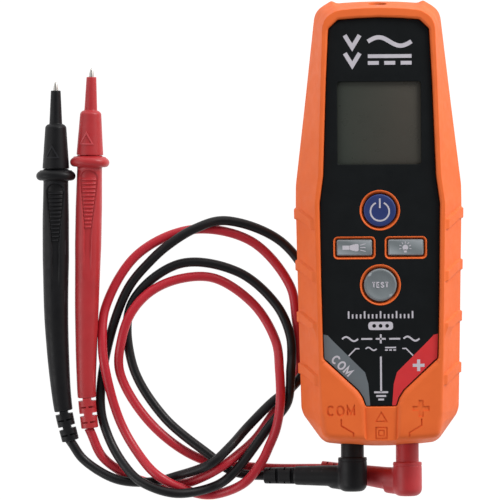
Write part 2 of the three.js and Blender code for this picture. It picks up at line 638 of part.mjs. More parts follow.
function plugRelief({ arm, relief_length: tail }) {
  const curve = curveThrough(arm);
  const length = curve.getLength();
  return turnedAlong(curve, reliefProfile(length - tail + GAP, length, 3.5, 3.3, 4));
}

const probeTip = (curve) => turnedAlong(
  curve, [[0, 0], [0.25, 0.3], [1, 3], [1, PROBE.guard - 0.4], [0, PROBE.guard - 0.4]], 10);

const probeCap = (curve) => turnedAlong(curve, [
  [1.35, PROBE.cap_start], [1.8, PROBE.cap_start], [2.4, 16.8], [3.4, 17.6], [4.1, 19],
  [5.2, PROBE.cap_end], [3.35, PROBE.cap_end], [3.35, 29], [1.35, 29], [1.35, PROBE.cap_start]], 14);

function probeBody(curve) {
  const { nose_start: nose, guard, guard_radius: ring, body_end: end } = PROBE;
  return turnedAlong(curve, [
    [1.3, nose], [3, nose], [3, 35.7], [5.1, 35.7], [5.3, guard - 1.8], [ring - 0.9, guard - 1.6],
    [ring, guard - 0.6], [ring, guard + 0.7], [ring - 0.9, guard + 1.7], [5.5, guard + 2],
    [5, guard + 3.4], [5.2, 56], [5.3, 72], [5.1, 80], [4.8, 96], [4.35, 114], [3.95, 125],
    [3.7, end], [0, end], [0, guard], [1.3, guard], [1.3, nose]], 16);
}

const probeRelief = (curve) => turnedAlong(
  curve, reliefProfile(PROBE.body_end + GAP, PROBE.relief_end, 3.5, 3.2, 4));

function lead(name, plug, axis, route, material) {
  const group = new THREE.Group();
  const probe = curveThrough(axis);
  node(group, `${name}_plug_pin`, plugPin(plug), MATERIALS.nickel);
  node(group, `${name}_plug_body`, plugBody(plug), material);
  node(group, `${name}_plug_relief`, plugRelief(plug), material);
  node(group, `${name}_cord`, swept(curveThrough(route), CORD_DIAMETER / 2, 8, 76), material);
  node(group, `${name}_probe_relief`, probeRelief(probe), material);
  node(group, `${name}_probe_body`, probeBody(probe), material);
  node(group, `${name}_probe_cap`, probeCap(probe), material);
  node(group, `${name}_probe_tip`, probeTip(probe), MATERIALS.nickel);
  return group;
}

// ---------------------------------------------------------------- assembly

function tester() {
  const group = new THREE.Group();
  const switches = {
    power: [POWER_KEY.x, POWER_KEY.y], gfci: [GFCI_KEY.x, GFCI_KEY.y],
    worklight: [-FLAT_KEYS.x, FLAT_KEYS.y], backlight: [FLAT_KEYS.x, FLAT_KEYS.y],
  };
  node(group, 'front_case', frontCase(), MATERIALS.bumper);
  node(group, 'rear_case', rearCase(), MATERIALS.rear);
  node(group, 'face_panel', facePanel(), MATERIALS.panel);
  node(group, 'power_button', roundKey(POWER_KEY, 0), MATERIALS.blue);
  node(group, 'gfci_button', roundKey(GFCI_KEY, 0.6), MATERIALS.grey);
  node(group, 'worklight_button', flatKey(-1), MATERIALS.grey);
  node(group, 'backlight_button', flatKey(1), MATERIALS.grey);
  for (const [name, [x, y]] of Object.entries(switches)) {
    node(group, `${name}_switch`, tactileSwitch(x, y), MATERIALS.black);
  }

  const { y, width, height } = DISPLAY;
  const lens = rectangle(0, y, width - 2 * GAP, height - 2 * GAP);
  node(group, 'display_window', plate(lens, PANEL_Z - PANEL_T, PANEL_Z - 0.9), MATERIALS.clear);
  node(group, 'display_glass', plate(rectangle(0, y, 32.4, 32.4), 28.7, 30), MATERIALS.glass);
  node(group, 'display_frame', displayFrame(), MATERIALS.black);
  node(group, 'backlight_diffuser', plate(rectangle(0, y + 1.6, 32.4, 28.6), 25.8, 28.4), MATERIALS.white);
  node(group, 'display_connector', box([-14, y - 16, BOARD_Z + GAP], [14, y - 14.2, 28.4]), MATERIALS.grey);

  node(group, 'circuit_board', circuitBoard(), MATERIALS.board);
  node(group, 'buzzer', post(0, 52, 14.6, BOARD_Z - BOARD_T - GAP, 6), MATERIALS.black);
  node(group, 'load_resistor', bar(11, 16.9, -53.5, -37, 2.8, 14), MATERIALS.white);
  node(group, 'worklight_led', bar(0, LIGHT.z, 78, 84, 2.5, 16), MATERIALS.white);
  node(group, 'worklight_lens', bar(0, LIGHT.z, 84.4, LIGHT.face_y, LIGHT.radius), MATERIALS.clear);

  node(group, 'cell_1', cell(-1, 1), MATERIALS.cell);
  node(group, 'cell_2', cell(1, -1), MATERIALS.cell);
  node(group, 'cell_spring_1', cellSpring(-1, -1), MATERIALS.nickel);
  node(group, 'cell_spring_2', cellSpring(1, 1), MATERIALS.nickel);
  node(group, 'contact_bridge', contact(-10, 10, -1), MATERIALS.nickel);
  node(group, 'contact_positive', contact(-9.6, -1.6, 1), MATERIALS.nickel);
  node(group, 'contact_negative', contact(1.6, 9.6, 1), MATERIALS.nickel);
  node(group, 'battery_door', batteryDoor(), MATERIALS.black);
  node(group, 'battery_door_screw', screw(0, DOOR_SCREW_Y, 0.4, 0.8, 9), MATERIALS.nickel);
  CASE_SCREWS.forEach(([x, screwY], i) => {
    node(group, `case_screw_${i + 1}`, screw(x, screwY, 1, 1.3, 24), MATERIALS.nickel);
  });

  node(group, 'jack_block', jackBlock(), MATERIALS.black);
  node(group, 'jack_com', jackSocket(-1), MATERIALS.brass);
  node(group, 'jack_plus', jackSocket(1), MATERIALS.brass);
  return group;
}

const model = new THREE.Group();
model.name = 'voltage_tester_with_leads';
model.add(tester());
model.add(lead('black', PLUGS.black, BLACK_PROBE_AXIS, BLACK_ROUTE, MATERIALS.black));
model.add(lead('red', PLUGS.red, RED_PROBE_AXIS, RED_ROUTE, MATERIALS.red));

export default model;
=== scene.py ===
"""The looks of a handheld voltage tester and its two test leads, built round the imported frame.

Lengths in this file are millimetres in the part's frame, and MM turns them into metres.
"""
import math

import bmesh
import bpy
import numpy as np
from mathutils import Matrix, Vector


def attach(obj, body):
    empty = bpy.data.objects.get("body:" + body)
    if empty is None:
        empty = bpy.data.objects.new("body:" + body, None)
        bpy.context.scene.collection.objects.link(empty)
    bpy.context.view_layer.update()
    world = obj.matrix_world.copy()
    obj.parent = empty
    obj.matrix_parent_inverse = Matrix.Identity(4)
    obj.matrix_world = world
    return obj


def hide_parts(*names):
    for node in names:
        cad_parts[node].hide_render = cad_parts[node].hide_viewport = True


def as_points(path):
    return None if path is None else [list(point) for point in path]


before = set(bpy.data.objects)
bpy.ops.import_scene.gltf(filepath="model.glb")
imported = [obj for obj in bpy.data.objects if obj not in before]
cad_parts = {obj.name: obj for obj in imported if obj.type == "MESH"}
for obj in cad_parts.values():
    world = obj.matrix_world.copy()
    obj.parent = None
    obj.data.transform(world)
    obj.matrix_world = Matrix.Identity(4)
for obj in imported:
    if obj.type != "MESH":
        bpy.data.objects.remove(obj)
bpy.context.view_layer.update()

MM = 0.001

# ---------- camera and cords

CAMERA_AIM = (-52.12, -10.53)
CAMERA_HEIGHT = 1818
CAMERA_LENS = 320.6
CAMERA_SENSOR = 36
CAMERA_SEES_M = 10
CAMERA_ROLL = 0.417


def make_camera():
    data = bpy.data.cameras.new("camera")
    data.lens = CAMERA_LENS
    data.sensor_width = CAMERA_SENSOR
    data.clip_end = CAMERA_SEES_M
    camera = bpy.data.objects.new("camera", data)
    camera.location = Vector((*CAMERA_AIM, CAMERA_HEIGHT)) * MM
    camera.rotation_euler = (0, 0, -math.radians(CAMERA_ROLL))
    bpy.context.scene.collection.objects.link(camera)
    bpy.context.scene.camera = camera


def curve_points(controls, per_span=24):
    """Points along the smooth curve through the controls, which are bent by the root of their spacing."""
    points = np.array(controls, float)
    count = len(points)
    found = []
    for i in range(count - 1):
        here, onward = points[i], points[i + 1]
        before = points[i - 1] if i > 0 else 2 * here - onward
        after = points[i + 2] if i + 2 < count else 2 * onward - here
        d0, d1, d2 = (
            np.linalg.norm(b - a) ** 0.5
            for a, b in ((before, here), (here, onward), (onward, after))
        )
        leave = ((here - before) / d0 - (onward - before) / (d0 + d1) + (onward - here) / d1) * d1
        arrive = ((onward - here) / d1 - (after - here) / (d1 + d2) + (after - onward) / d2) * d1
        t = np.linspace(0, 1, per_span, endpoint=False)[:, None]
        square = -3 * here + 3 * onward - 2 * leave - arrive
        cube = 2 * here - 2 * onward + leave + arrive
        found.append(here + leave * t + square * t**2 + cube * t**3)
    found.append(points[-1:])
    return np.concatenate(found)


class Line:
    """A curve in space that is asked for a place and a frame at a distance along it."""

    def __init__(self, controls):
        self.points = curve_points(controls)
        steps = np.linalg.norm(np.diff(self.points, axis=0), axis=1)
        self.distance = np.concatenate([[0], np.cumsum(steps)])
        self.length = self.distance[-1]

    def on_curve(self, s):
        return np.array([np.interp(s, self.distance, axis) for axis in self.points.T])

    def at(self, s):
        """The place at a distance. Past either end the line runs on straight."""
        inside = min(max(s, 0), self.length)
        return self.on_curve(inside) + (s - inside) * self.along(inside)

    def along(self, s, reach=0.6):
        """The line's direction, taken over a short stretch each way."""
        inside = min(max(s, 0), self.length)
        step = self.on_curve(inside + reach) - self.on_curve(inside - reach)
        return step / np.linalg.norm(step)

    def frame(self, s):
        """Place, sideways and upward directions at a distance."""
        tangent = self.along(s)
        side = np.cross(tangent, (0, 0, 1))
        side /= np.linalg.norm(side)
        return self.at(s), side, np.cross(side, tangent)


def new_mesh(name, vertices, faces, sharp=None):
    """An object whose vertices are given in millimetres. Edges sharper than sharp degrees stay crisp."""
    mesh = bpy.data.meshes.new(name)
    mesh.from_pydata([tuple(float(c) * MM for c in v) for v in vertices], [], faces)
    mesh.update()
    obj = bpy.data.objects.new(name, mesh)
    bpy.context.scene.collection.objects.link(obj)
    finish_mesh(obj, sharp)
    return obj


def finish_mesh(obj, sharp=None):
    """Faces turned outward and shaded smooth."""
    work = bmesh.new()
    work.from_mesh(obj.data)
    bmesh.ops.recalc_face_normals(work, faces=work.faces)
    work.to_mesh(obj.data)
    work.free()
    obj.data.shade_smooth()
    if sharp:
        obj.data.set_sharp_from_angle(angle=math.radians(sharp))


def skin(rings, loop=False):
    """Vertices and faces of a skin through rings of equal count: capped, or closed in a loop."""
    count = len(rings[0])
    vertices = [v for ring in rings for v in ring]
    faces = []
    for level in range(len(rings) if loop else len(rings) - 1):
        low, high = level * count, ((level + 1) % len(rings)) * count
        for i in range(count):
            j = (i + 1) % count
            faces.append((low + i, low + j, high + j, high + i))
    if not loop:
        faces.append(tuple(reversed(range(count))))
        faces.append(tuple(range((len(rings) - 1) * count, len(rings) * count)))
    return vertices, faces


def full_turn(sides):
    return [2 * math.pi * k / sides for k in range(sides)]


def turned_on(name, line, profile, sides=48, angles=None, shape=None, sweep=None, sharp=None,
              loop=False):
    """A turned profile of (distance, radius) pairs bent along a line.

    Angles run from 0 at the side to 90 degrees on top. At each point shape may change the radius and
    sweep may move it along the line. A loop's profile ends where it starts.
    """
    rings = []
    for s, radius in profile[:-1] if loop else profile:
        place, side, up = line.frame(s)
        tangent = line.along(s)
        ring = []
        for angle in angles or full_turn(sides):
            r = shape(s, angle, radius) if shape else radius
            lean = sweep(s, angle, radius) if sweep else 0
            ring.append(
                place + tangent * lean + side * (r * math.cos(angle)) + up * (r * math.sin(angle)))
        rings.append(ring)
    return new_mesh(name, *skin(rings, loop), sharp)


CORD_DIAMETER = 3.8
RED_ROUTE = [
    (-117.7, -84, 3.6), (-112.8, -94.5, 2.2), (-102.5, -102, 2), (-92, -105.5, 2),
    (-80, -105.6, 2.8), (-71.5, -102.5, 7.3), (-64, -98.2, 10.6), (-57.5, -93.6, 7.1),
    (-50, -87, 2.6), (-41, -74, 2.1), (-33.5, -63, 2), (-32.5, -51.5, 2), (-33.5, -38.5, 2),
    (-36, -25, 2), (-51.5, -7, 2), (-75.5, -2, 2), (-98, -12, 2), (-111, -33, 2.9),
    (-112.5, -47.5, 5.8), (-111.5, -58, 6.2), (-106, -79, 2.2), (-99, -92, 4.2),
    (-90, -102, 10.5), (-75, -109.3, 5.4), (-67.5, -110, 4.2), (-55, -105, 10),
    (-48, -96.5, 10), (-45, -90.5, 8.4), (-42, -83, 9.8), (-40.3, -72.5, 12.5),
    (-40.5, -59.5, 10.6), (-42, -47.5, 3.4), (-50.5, -33, 2.1), (-66.5, -22, 2),
    (-80.5, -22, 2.2), (-92.5, -27, 4.3), (-100.5, -35.5, 6.2), (-104.5, -46, 5.7),
    (-105.5, -60, 2.9), (-93, -81, 2), (-73, -95.5, 2), (-48.5, -99.3, 2), (-24, -99.8, 3),
]
BLACK_ROUTE = [
    (-125.5, -88.4, 3.6), (-120.5, -95.5, 2.6), (-107, -103.5, 5), (-92, -104.5, 6.3),
    (-82.5, -102.3, 5.3), (-68.5, -97, 12.7), (-61, -90.5, 10.3), (-53.5, -82.5, 3.6),
    (-43.5, -72.5, 5.3), (-34, -65, 6.2), (-27, -53, 4.1), (-26, -28.5, 2.4), (-39, -7.5, 2.3),
    (-62, 1.5, 4), (-74.5, -1.7, 6.2), (-85, -8, 4.8), (-92.5, -14.5, 2.9), (-102, -26, 3),
    (-110.5, -49.5, 2), (-113.5, -73.5, 2.1), (-110.5, -86, 2.6), (-104, -97.5, 6.7),
    (-97, -104.3, 10.4), (-83, -109, 12), (-67.5, -106.5, 8.4), (-60, -101.5, 10.4),
    (-44.5, -82, 5.9), (-37.7, -73.3, 8.4), (-36.3, -67, 10.7), (-36, -60, 9.2),
    (-35.5, -54, 5.6), (-36, -45.5, 4.8), (-41.5, -33, 2.5), (-57, -19.5, 2), (-81, -16, 2),
    (-100.5, -32, 2), (-100.5, -56.5, 2.1), (-88, -78, 2.2), (-69, -94, 5.7), (-61, -100, 6.3),
    (-54, -101.9, 5.6), (-46.9, -102.3, 6.8),
]
CORD_STEP = 1.1
CORD_SIDES = 20
CORD_TUCK = 1.5  # how far each end runs on inside its strain relief


def make_cord(name, route):
    line = Line(route)
    count = round(line.length / CORD_STEP)
    stations = np.linspace(-CORD_TUCK, line.length + CORD_TUCK, count)
    cord = turned_on(name, line, [(s, CORD_DIAMETER / 2) for s in stations], CORD_SIDES)
    return cord, [line.at(s) * MM for s in stations]


make_camera()
RED_CORD, RED_PATH = make_cord("red_cord_jacket", RED_ROUTE)
BLACK_CORD, BLACK_PATH = make_cord("black_cord_jacket", BLACK_ROUTE)

# ---------- materials


def shader(name):
    """A new material with its Principled shader and its object coordinates."""
    made = bpy.data.materials.new(name)
    made.use_nodes = True
    principled = made.node_tree.nodes["Principled BSDF"]
    place = made.node_tree.nodes.new("ShaderNodeTexCoord").outputs["Object"]
    return made, principled, place


def feed(node, socket, value):
    """Links a node's input to an output."""
    node.id_data.links.new(value, node.inputs[socket])


def noise(place, size, detail=2.0, stretch=None):
    """Noise whose features are about size millimetres across."""
    nodes = place.id_data.nodes
    if stretch:
        mapping = nodes.new("ShaderNodeMapping")
        mapping.inputs["Scale"].default_value = stretch
        feed(mapping, "Vector", place)
        place = mapping.outputs["Vector"]
    texture = nodes.new("ShaderNodeTexNoise")
    texture.inputs["Scale"].default_value = 1 / (size * MM)
    texture.inputs["Detail"].default_value = detail
    feed(texture, "Vector", place)
    return texture.outputs["Fac"]


def ranged(value, low, high, start=0.3, end=0.7):
    """The value's range start to end turned into low to high."""
    node = value.id_data.nodes.new("ShaderNodeMapRange")
    for socket, number in (("From Min", start), ("From Max", end), ("To Min", low), ("To Max", high)):
        node.inputs[socket].default_value = number
    feed(node, "Value", value)
    return node.outputs["Result"]


def mixed(share, first, second):
    """A mix of two colours, each a tuple or an output."""
    node = share.id_data.nodes.new("ShaderNodeMix")
    node.data_type = "RGBA"
    feed(node, "Factor", share)
    for socket, color in ((6, first), (7, second)):  # the mix node's two colour inputs
        if isinstance(color, tuple):
            node.inputs[socket].default_value = (*color, 1)
        else:
            feed(node, socket, color)
    return node.outputs[2]


def bumped(principled, heights):
    """Chains bumps into a shader's normal: heights are (value, depth in millimetres) pairs."""
    normal = None
    for value, depth in heights:
        bump = principled.id_data.nodes.new("ShaderNodeBump")
        bump.inputs["Distance"].default_value = depth * MM
        bump.inputs["Strength"].default_value = 1.0
        feed(bump, "Height", value)
        if normal is not None:
            feed(bump, "Normal", normal)
        normal = bump.outputs["Normal"]
    feed(principled, "Normal", normal)


def moulded(name, color, shade, worn=None, roughness=(0.45, 0.6), grain=0.3, depth=0.02,
            mottle=9, **sockets):
    """Moulded plastic or rubber: mottled colour, spark-eroded grain, uneven gloss, rubbed edges."""
    made, principled, place = shader(name)
    surface = mixed(ranged(noise(place, mottle, 3), 0, 1), color, shade)
    if worn:
        geometry = made.node_tree.nodes.new("ShaderNodeNewGeometry")
        rubbed = ranged(geometry.outputs["Pointiness"], 0, 1, 0.52, 0.58)
        surface = mixed(rubbed, surface, worn)
    feed(principled, "Base Color", surface)
    feed(principled, "Roughness", ranged(noise(place, mottle * 0.35, 4), *roughness))
    bumped(principled, [(noise(place, grain * 7), depth * 1.5), (noise(place, grain), depth)])
    for socket, value in sockets.items():
        principled.inputs[socket.replace("_", " ")].default_value = value
    return made


def metal(name, color, shade, roughness):
    """Plated or turned metal with fine scratches and slight tarnish."""
    made, principled, place = shader(name)
    principled.inputs["Metallic"].default_value = 1
    tarnish = ranged(noise(place, 2.5, 4), 0, 1, 0.35, 0.75)
    feed(principled, "Base Color", mixed(tarnish, color, shade))
    scratches = noise(place, 0.15, 3, stretch=(1, 0.08, 1))
    feed(principled, "Roughness", ranged(scratches, *roughness))
    bumped(principled, [(scratches, 0.004)])
    return made


# Moulded materials: their names, the two colours that they mottle between, and their settings.
MOULDED = {
    "boot": ("orange_boot", (0.84, 0.148, 0.024), (0.79, 0.132, 0.02), dict(
        roughness=(0.55, 0.68), grain=0.22, depth=0.014, Specular_IOR_Level=0.38)),
    "panel": ("black_panel", (0.0065, 0.008, 0.009), (0.005, 0.0062, 0.007), dict(
        roughness=(0.5, 0.62), grain=0.28, Specular_IOR_Level=0.12)),
    "ink": ("pale_ink", (0.56, 0.53, 0.58), (0.5, 0.48, 0.53), dict(
        roughness=(0.5, 0.6), depth=0.004, mottle=4)),
    "grey_ink": ("grey_ink", (0.135, 0.155, 0.17), (0.12, 0.14, 0.155), dict(depth=0.01)),
    "red_ink": ("red_ink", (0.66, 0.026, 0.03), (0.62, 0.022, 0.028), dict(depth=0.01)),
    "blue_key": ("blue_key", (0.014, 0.034, 0.165), (0.011, 0.026, 0.13), dict(
        worn=(0.04, 0.08, 0.28), roughness=(0.45, 0.58), grain=0.2, depth=0.008)),
    "grey_key": ("grey_key", (0.17, 0.195, 0.205), (0.145, 0.165, 0.175), dict(
        worn=(0.32, 0.35, 0.37), roughness=(0.48, 0.6), grain=0.2, depth=0.008)),
    "black": ("black_plastic", (0.0055, 0.0055, 0.0066), (0.004, 0.004, 0.005), dict(
        worn=(0.018, 0.018, 0.021), roughness=(0.42, 0.56), depth=0.012, Specular_IOR_Level=0.27)),
    "door": ("black_door", (0.0085, 0.0085, 0.01), (0.006, 0.006, 0.0072), dict(
        roughness=(0.42, 0.56), Specular_IOR_Level=0.35)),
    "red": ("red_plastic", (0.5, 0.028, 0.033), (0.44, 0.023, 0.028), dict(
        worn=(0.6, 0.07, 0.08), roughness=(0.38, 0.52), depth=0.012)),
    "black_cord": ("black_cord", (0.0052, 0.0052, 0.0062), (0.004, 0.004, 0.005), dict(
        roughness=(0.36, 0.48), grain=0.5, depth=0.01, mottle=14, Specular_IOR_Level=0.35)),
    "red_cord": ("red_cord", (0.54, 0.015, 0.03), (0.48, 0.012, 0.026), dict(
        roughness=(0.36, 0.48), grain=0.5, depth=0.01, mottle=14)),
    "white": ("white_plastic", (0.72, 0.71, 0.66), (0.66, 0.65, 0.6), dict(
        roughness=(0.4, 0.55), depth=0.01)),
    "board": ("solder_mask", (0.02, 0.13, 0.06), (0.015, 0.1, 0.045), dict(
        roughness=(0.2, 0.35), depth=0.01, mottle=5)),
    "cell": ("cell_film", (0.05, 0.07, 0.11), (0.04, 0.055, 0.09), dict(
        roughness=(0.15, 0.3), depth=0.004)),
}


def split(direction):
    node = direction.id_data.nodes.new("ShaderNodeSeparateXYZ")
    feed(node, "Vector", direction)
    return node.outputs


def display_material():
    """A switched-off display behind its window: dark olive, warmer towards its right side."""
    made, principled, place = shader("display_cell")
    across = ranged(split(place)["X"], 0, 1, -14 * MM, 10 * MM)
    surface = mixed(across, (0.038, 0.046, 0.037), (0.064, 0.056, 0.045))
    smudges = ranged(noise(place, 26, 1), 0, 0.4)
    feed(principled, "Base Color", mixed(smudges, surface, (0.05, 0.052, 0.042)))
    feed(principled, "Roughness", ranged(noise(place, 5), 0.26, 0.36))
    bumped(principled, [(noise(place, 0.5), 0.002)])
    return made


def lens_material():
    """Clear moulded plastic, slightly tinted."""
    made, principled, place = shader("clear_lens")
    principled.inputs["Transmission Weight"].default_value = 0.85
    principled.inputs["IOR"].default_value = 1.5
    tint = ranged(noise(place, 3), 0, 1)
    feed(principled, "Base Color", mixed(tint, (0.9, 0.92, 0.9), (0.82, 0.86, 0.86)))
    feed(principled, "Roughness", ranged(noise(place, 1), 0.05, 0.12))
    return made


MATERIALS = {
    key: moulded(name, color, shade, **settings)
    for key, (name, color, shade, settings) in MOULDED.items()}
MATERIALS["nickel"] = metal("nickel", (0.6, 0.575, 0.54), (0.48, 0.46, 0.43), (0.38, 0.5))
MATERIALS["steel"] = metal("zinc_steel", (0.5, 0.5, 0.5), (0.38, 0.38, 0.39), (0.25, 0.45))
MATERIALS["brass"] = metal("brass", (0.72, 0.5, 0.2), (0.6, 0.4, 0.15), (0.12, 0.3))
MATERIALS["lcd"] = display_material()
MATERIALS["lens"] = lens_material()


def dress(obj, material, body, slot, *replaced):
    """Gives a finished piece its material, the body that it rides on and the CAD nodes it stands for."""
    obj.data.materials.clear()
    obj.data.materials.append(MATERIALS[material])
    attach(obj, body)
    if replaced:
        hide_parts(*replaced)


# ---------- outlines

# Heights, from the back face up.
FOOT_TOP_Z = 6
FLARE_TOP_Z = 15.5
REAR_TOP_Z = 16.7
PARTING_Z = 17  # the jacks' axis too
BELT_Z = 18.5
DECK_UNDERSIDE_Z = 30.4
DECK_Z = 32.4
PANEL_Z = 34.2
STRIP_Z = 34.6
RIM_EDGE_Z = 35.4
RIM_Z = 36

WALL = 2.4
GAP = 0.3
JACK_X = 11.1
JACK_HOLE_Y = (-96, -66)
JACK_HOLE_R = 5.05

# The case outline, right half, from the top middle to the bottom middle: the belt, the rim, the
# foot, and how far the corner is rounded off.
STATIONS = (
    ((0, 89.6), (0, 86.2), (0, 84), 4),
    ((9, 89.4), (8.5, 86), (7, 84), 3),
    ((16.4, 88.9), (15, 85.4), (12, 83.6), 1.2),
    ((18.5, 90), (17.4, 84.9), (14, 82.8), 0.9),
    ((23.4, 87), (20.9, 82.8), (17.4, 79.6), 2.2),
    ((25.4, 84.2), (22.7, 79.4), (18.6, 76.6), 2.4),
    ((29.4, 49), (23.8, 49), (20.4, 46), 6),
    ((33.4, 15.5), (24.9, 18.8), (21.4, 16), 1.5),
    ((33.5, 7.5), (26.4, 8), (21.6, 6), 1.5),
    ((32.4, -48), (25.3, -48), (21.4, -46), 6),
    ((31.8, -74.6), (24.5, -75), (21, -72), 1.2),
    ((30.9, -77.3), (24.1, -80.4), (20.4, -75.4), 1.2),
    ((23.8, -87.2), (23.4, -84.8), (15.6, -83.6), 1.4),
    ((21.6, -88.6), (21.4, -86.3), (13.6, -84.8), 1.4),
    ((11, -89.7), (11, -87), (8, -85.4), 4),
    ((0, -90), (0, -87.2), (0, -85.6), 4),
)

# The panel outline, right half: x, y, and the width of the case's rounded edge beside it. The
# opening in the case's face leaves the panel at its last corner and runs on down the strip.
PANEL_HALF = (
    (0, 82.1, 1), (8.4, 81.8, 1), (16.3, 81.2, 1), (20, 77.7, 0.95), (21.1, 56, 0.9),
    (22.4, 18.8, 0.9), (23.9, 8, 0.9), (23.4, -28, 0.9), (22.8, -54.4, 1), (21.4, -55.6, 1.5),
    (9.2, -67, 1.7), (7.2, -70, 1.7), (6.2, -73.3, 1.5),
)
OPENING_HALF = PANEL_HALF[:-1] + ((6.2, -73.3, 1.4), (5.6, -94, 1.3))


def mirrored(half):
    """A whole outline from its right half: rows of x, y and any value that both sides share."""
    left = [(-x, *rest) for x, *rest in reversed(half) if x != 0]
    return np.array([*half, *left], float)


def smooth_loop(points, cuts, steps, corner_steps=5):
    """A closed outline with its corners rounded off, sampled the same way whatever its size."""
    count = len(points)
    found = []
    for i in range(count):
        here, before, after = points[i], points[i - 1], points[(i + 1) % count]
        onward = cuts[(i + 1) % count]

        def towards(a, b, cut):
            return a + (b - a) * min(cut / np.linalg.norm(b - a), 0.45)

        start, end = towards(here, before, cuts[i]), towards(here, after, cuts[i])
        for k in range(corner_steps):
            t = k / corner_steps
            found.append((1 - t) ** 2 * start + 2 * t * (1 - t) * here + t * t * end)
        goal = towards(after, here, onward)
        for k in range(steps[i]):
            found.append(end + (goal - end) * k / steps[i])
    return np.array(found)


def inward(loop):
    """The unit direction into a clockwise closed outline at each of its points."""
    along = np.roll(loop, -1, axis=0) - np.roll(loop, 1, axis=0)
    turned = np.stack([along[:, 1], -along[:, 0]], axis=1)
    return turned / np.linalg.norm(turned, axis=1)[:, None]


def narrowed(points, distance):
    """The corners of a clockwise outline after each side moves inward by a distance."""
    before = points - np.roll(points, 1, axis=0)
    after = np.roll(points, -1, axis=0) - points
    first, second = (
        np.stack([side[:, 1], -side[:, 0]], axis=1) / np.linalg.norm(side, axis=1)[:, None]
        for side in (before, after))
    bisector = (first + second) / (1 + np.sum(first * second, axis=1))[:, None]
    return points + bisector * np.reshape(distance, (-1, 1))


def at_height(loop, z):
    """A flat loop lifted to a height, which may differ from point to point."""
    heights = np.broadcast_to(np.asarray(z, float), (len(loop),))
    return np.column_stack([loop, heights])


COARSE_STEP, FINE_STEP = 0.9, 0.25


def outline_steps(belt):
    """How many points each side of the case outline gets: more where the grip ribs are."""
    steps = []
    for i, here in enumerate(belt):
        onward = belt[(i + 1) % len(belt)]
        middle_y = (here[1] + onward[1]) / 2
        fine = -76 < middle_y < 10 and abs(here[0]) > 30
        step = FINE_STEP if fine else COARSE_STEP
        steps.append(max(3, math.ceil(np.linalg.norm(onward - here) / step)))
    return steps


BELT_CORNERS, RIM_CORNERS, FOOT_CORNERS = (
    mirrored([station[k] for station in STATIONS]) for k in range(3))
CORNER_CUTS = mirrored([(*belt, cut) for belt, _, _, cut in STATIONS])[:, 2]
OUTLINE_STEPS = outline_steps(BELT_CORNERS)


def sampled(corners):
    """The case outline through some corners, point for point like every other case outline."""
    return smooth_loop(corners, CORNER_CUTS, OUTLINE_STEPS)


def spread(values, steps=OUTLINE_STEPS):
    """One value at each corner of an outline turned into one at each of its points."""
    count = len(values)
    pairs = np.column_stack([values, np.arange(count) * 1e-6])  # smooth_loop needs them apart
    return smooth_loop(pairs, [0] * count, steps)[:, 0]


BELT = sampled(BELT_CORNERS)
FOOT = sampled(FOOT_CORNERS)

RIB_SPOTS = (3.95, -16.85, -37.65, -58.45)
RIB_WIDTH = 4.7
RIB_PROUD = 0.8
RIB_SWELL = 0.25  # how much prouder a rib gets above the belt
RIB_LEAN = 5.9
RIB_BEND, RIB_BEND_SOFTNESS = 0.12, 0.1  # where up the slope a rib starts to lean, and how softly
RIB_TOP_Z = 34.4
RIB_LOW_Z = 11.8
RIB_EDGE = 0.45
RIB_MIN_X = 20  # the ends of the case have no ribs


def smoothstep(value):
    t = np.clip(value, 0, 1)
    return t * t * (3 - 2 * t)


def rib_height(loop, z):
    """How proud the grip ribs stand at each point of a loop at a height."""
    rise = max(z - BELT_Z, 0) / (RIB_TOP_Z - BELT_Z)
    lean = RIB_LEAN * (math.hypot(max(rise - RIB_BEND, 0), RIB_BEND_SOFTNESS) - RIB_BEND_SOFTNESS)
    ends = smoothstep((RIB_TOP_Z + 0.5 - z) / 0.5) * smoothstep((z - RIB_LOW_Z) / 0.8)
    height = np.zeros(len(loop))
    for spot in RIB_SPOTS:
        away = np.abs(loop[:, 1] - (spot - lean))
        height = np.maximum(height, smoothstep((RIB_WIDTH / 2 - away) / RIB_EDGE))
    proud = RIB_PROUD + RIB_SWELL * min(max((z - BELT_Z) / 6, 0), 1)
    return height * ends * proud * (np.abs(loop[:, 0]) > RIB_MIN_X)


# ---------- solids and cuts


def prism(name, loop, low, high):
    """A closed upright prism over a flat outline."""
    return lofted(name, [(np.array(loop), low), (np.array(loop), high)])


def lofted(name, levels, sharp=None):
    """A closed skin through flat outlines: levels are (loop, height) pairs."""
    return new_mesh(name, *skin([at_height(loop, z) for loop, z in levels]), sharp)


def cylinder(name, low, high, radius, sides=64):
    """A closed cylinder between two points in space."""
    start, end = Vector(low), Vector(high)
    turn = (end - start).to_track_quat("Z", "Y").to_matrix()
    rim = [turn @ Vector((math.cos(a) * radius, math.sin(a) * radius, 0)) for a in full_turn(sides)]
    return new_mesh(name, *skin([[tuple(centre + spoke) for spoke in rim] for centre in (start, end)]))


def settle(obj):
    """Turns a piece's modifiers into its mesh."""
    bpy.context.view_layer.update()
    made = bpy.data.meshes.new_from_object(
        obj.evaluated_get(bpy.context.evaluated_depsgraph_get()))
    obj.modifiers.clear()
    old = obj.data
    obj.data = made
    bpy.data.meshes.remove(old)


def carve(obj, cutters, operation="DIFFERENCE"):
    """Cuts each cutter out of a piece, or joins it on, and removes the cutter."""
    for cutter in cutters:
        modifier = obj.modifiers.new("cut", "BOOLEAN")
        modifier.operation = operation
        modifier.solver = "MANIFOLD"
        modifier.object = cutter
        settle(obj)
        bpy.data.objects.remove(cutter)


LEVEL = 0.9999  # a face whose normal is this near to upright is level


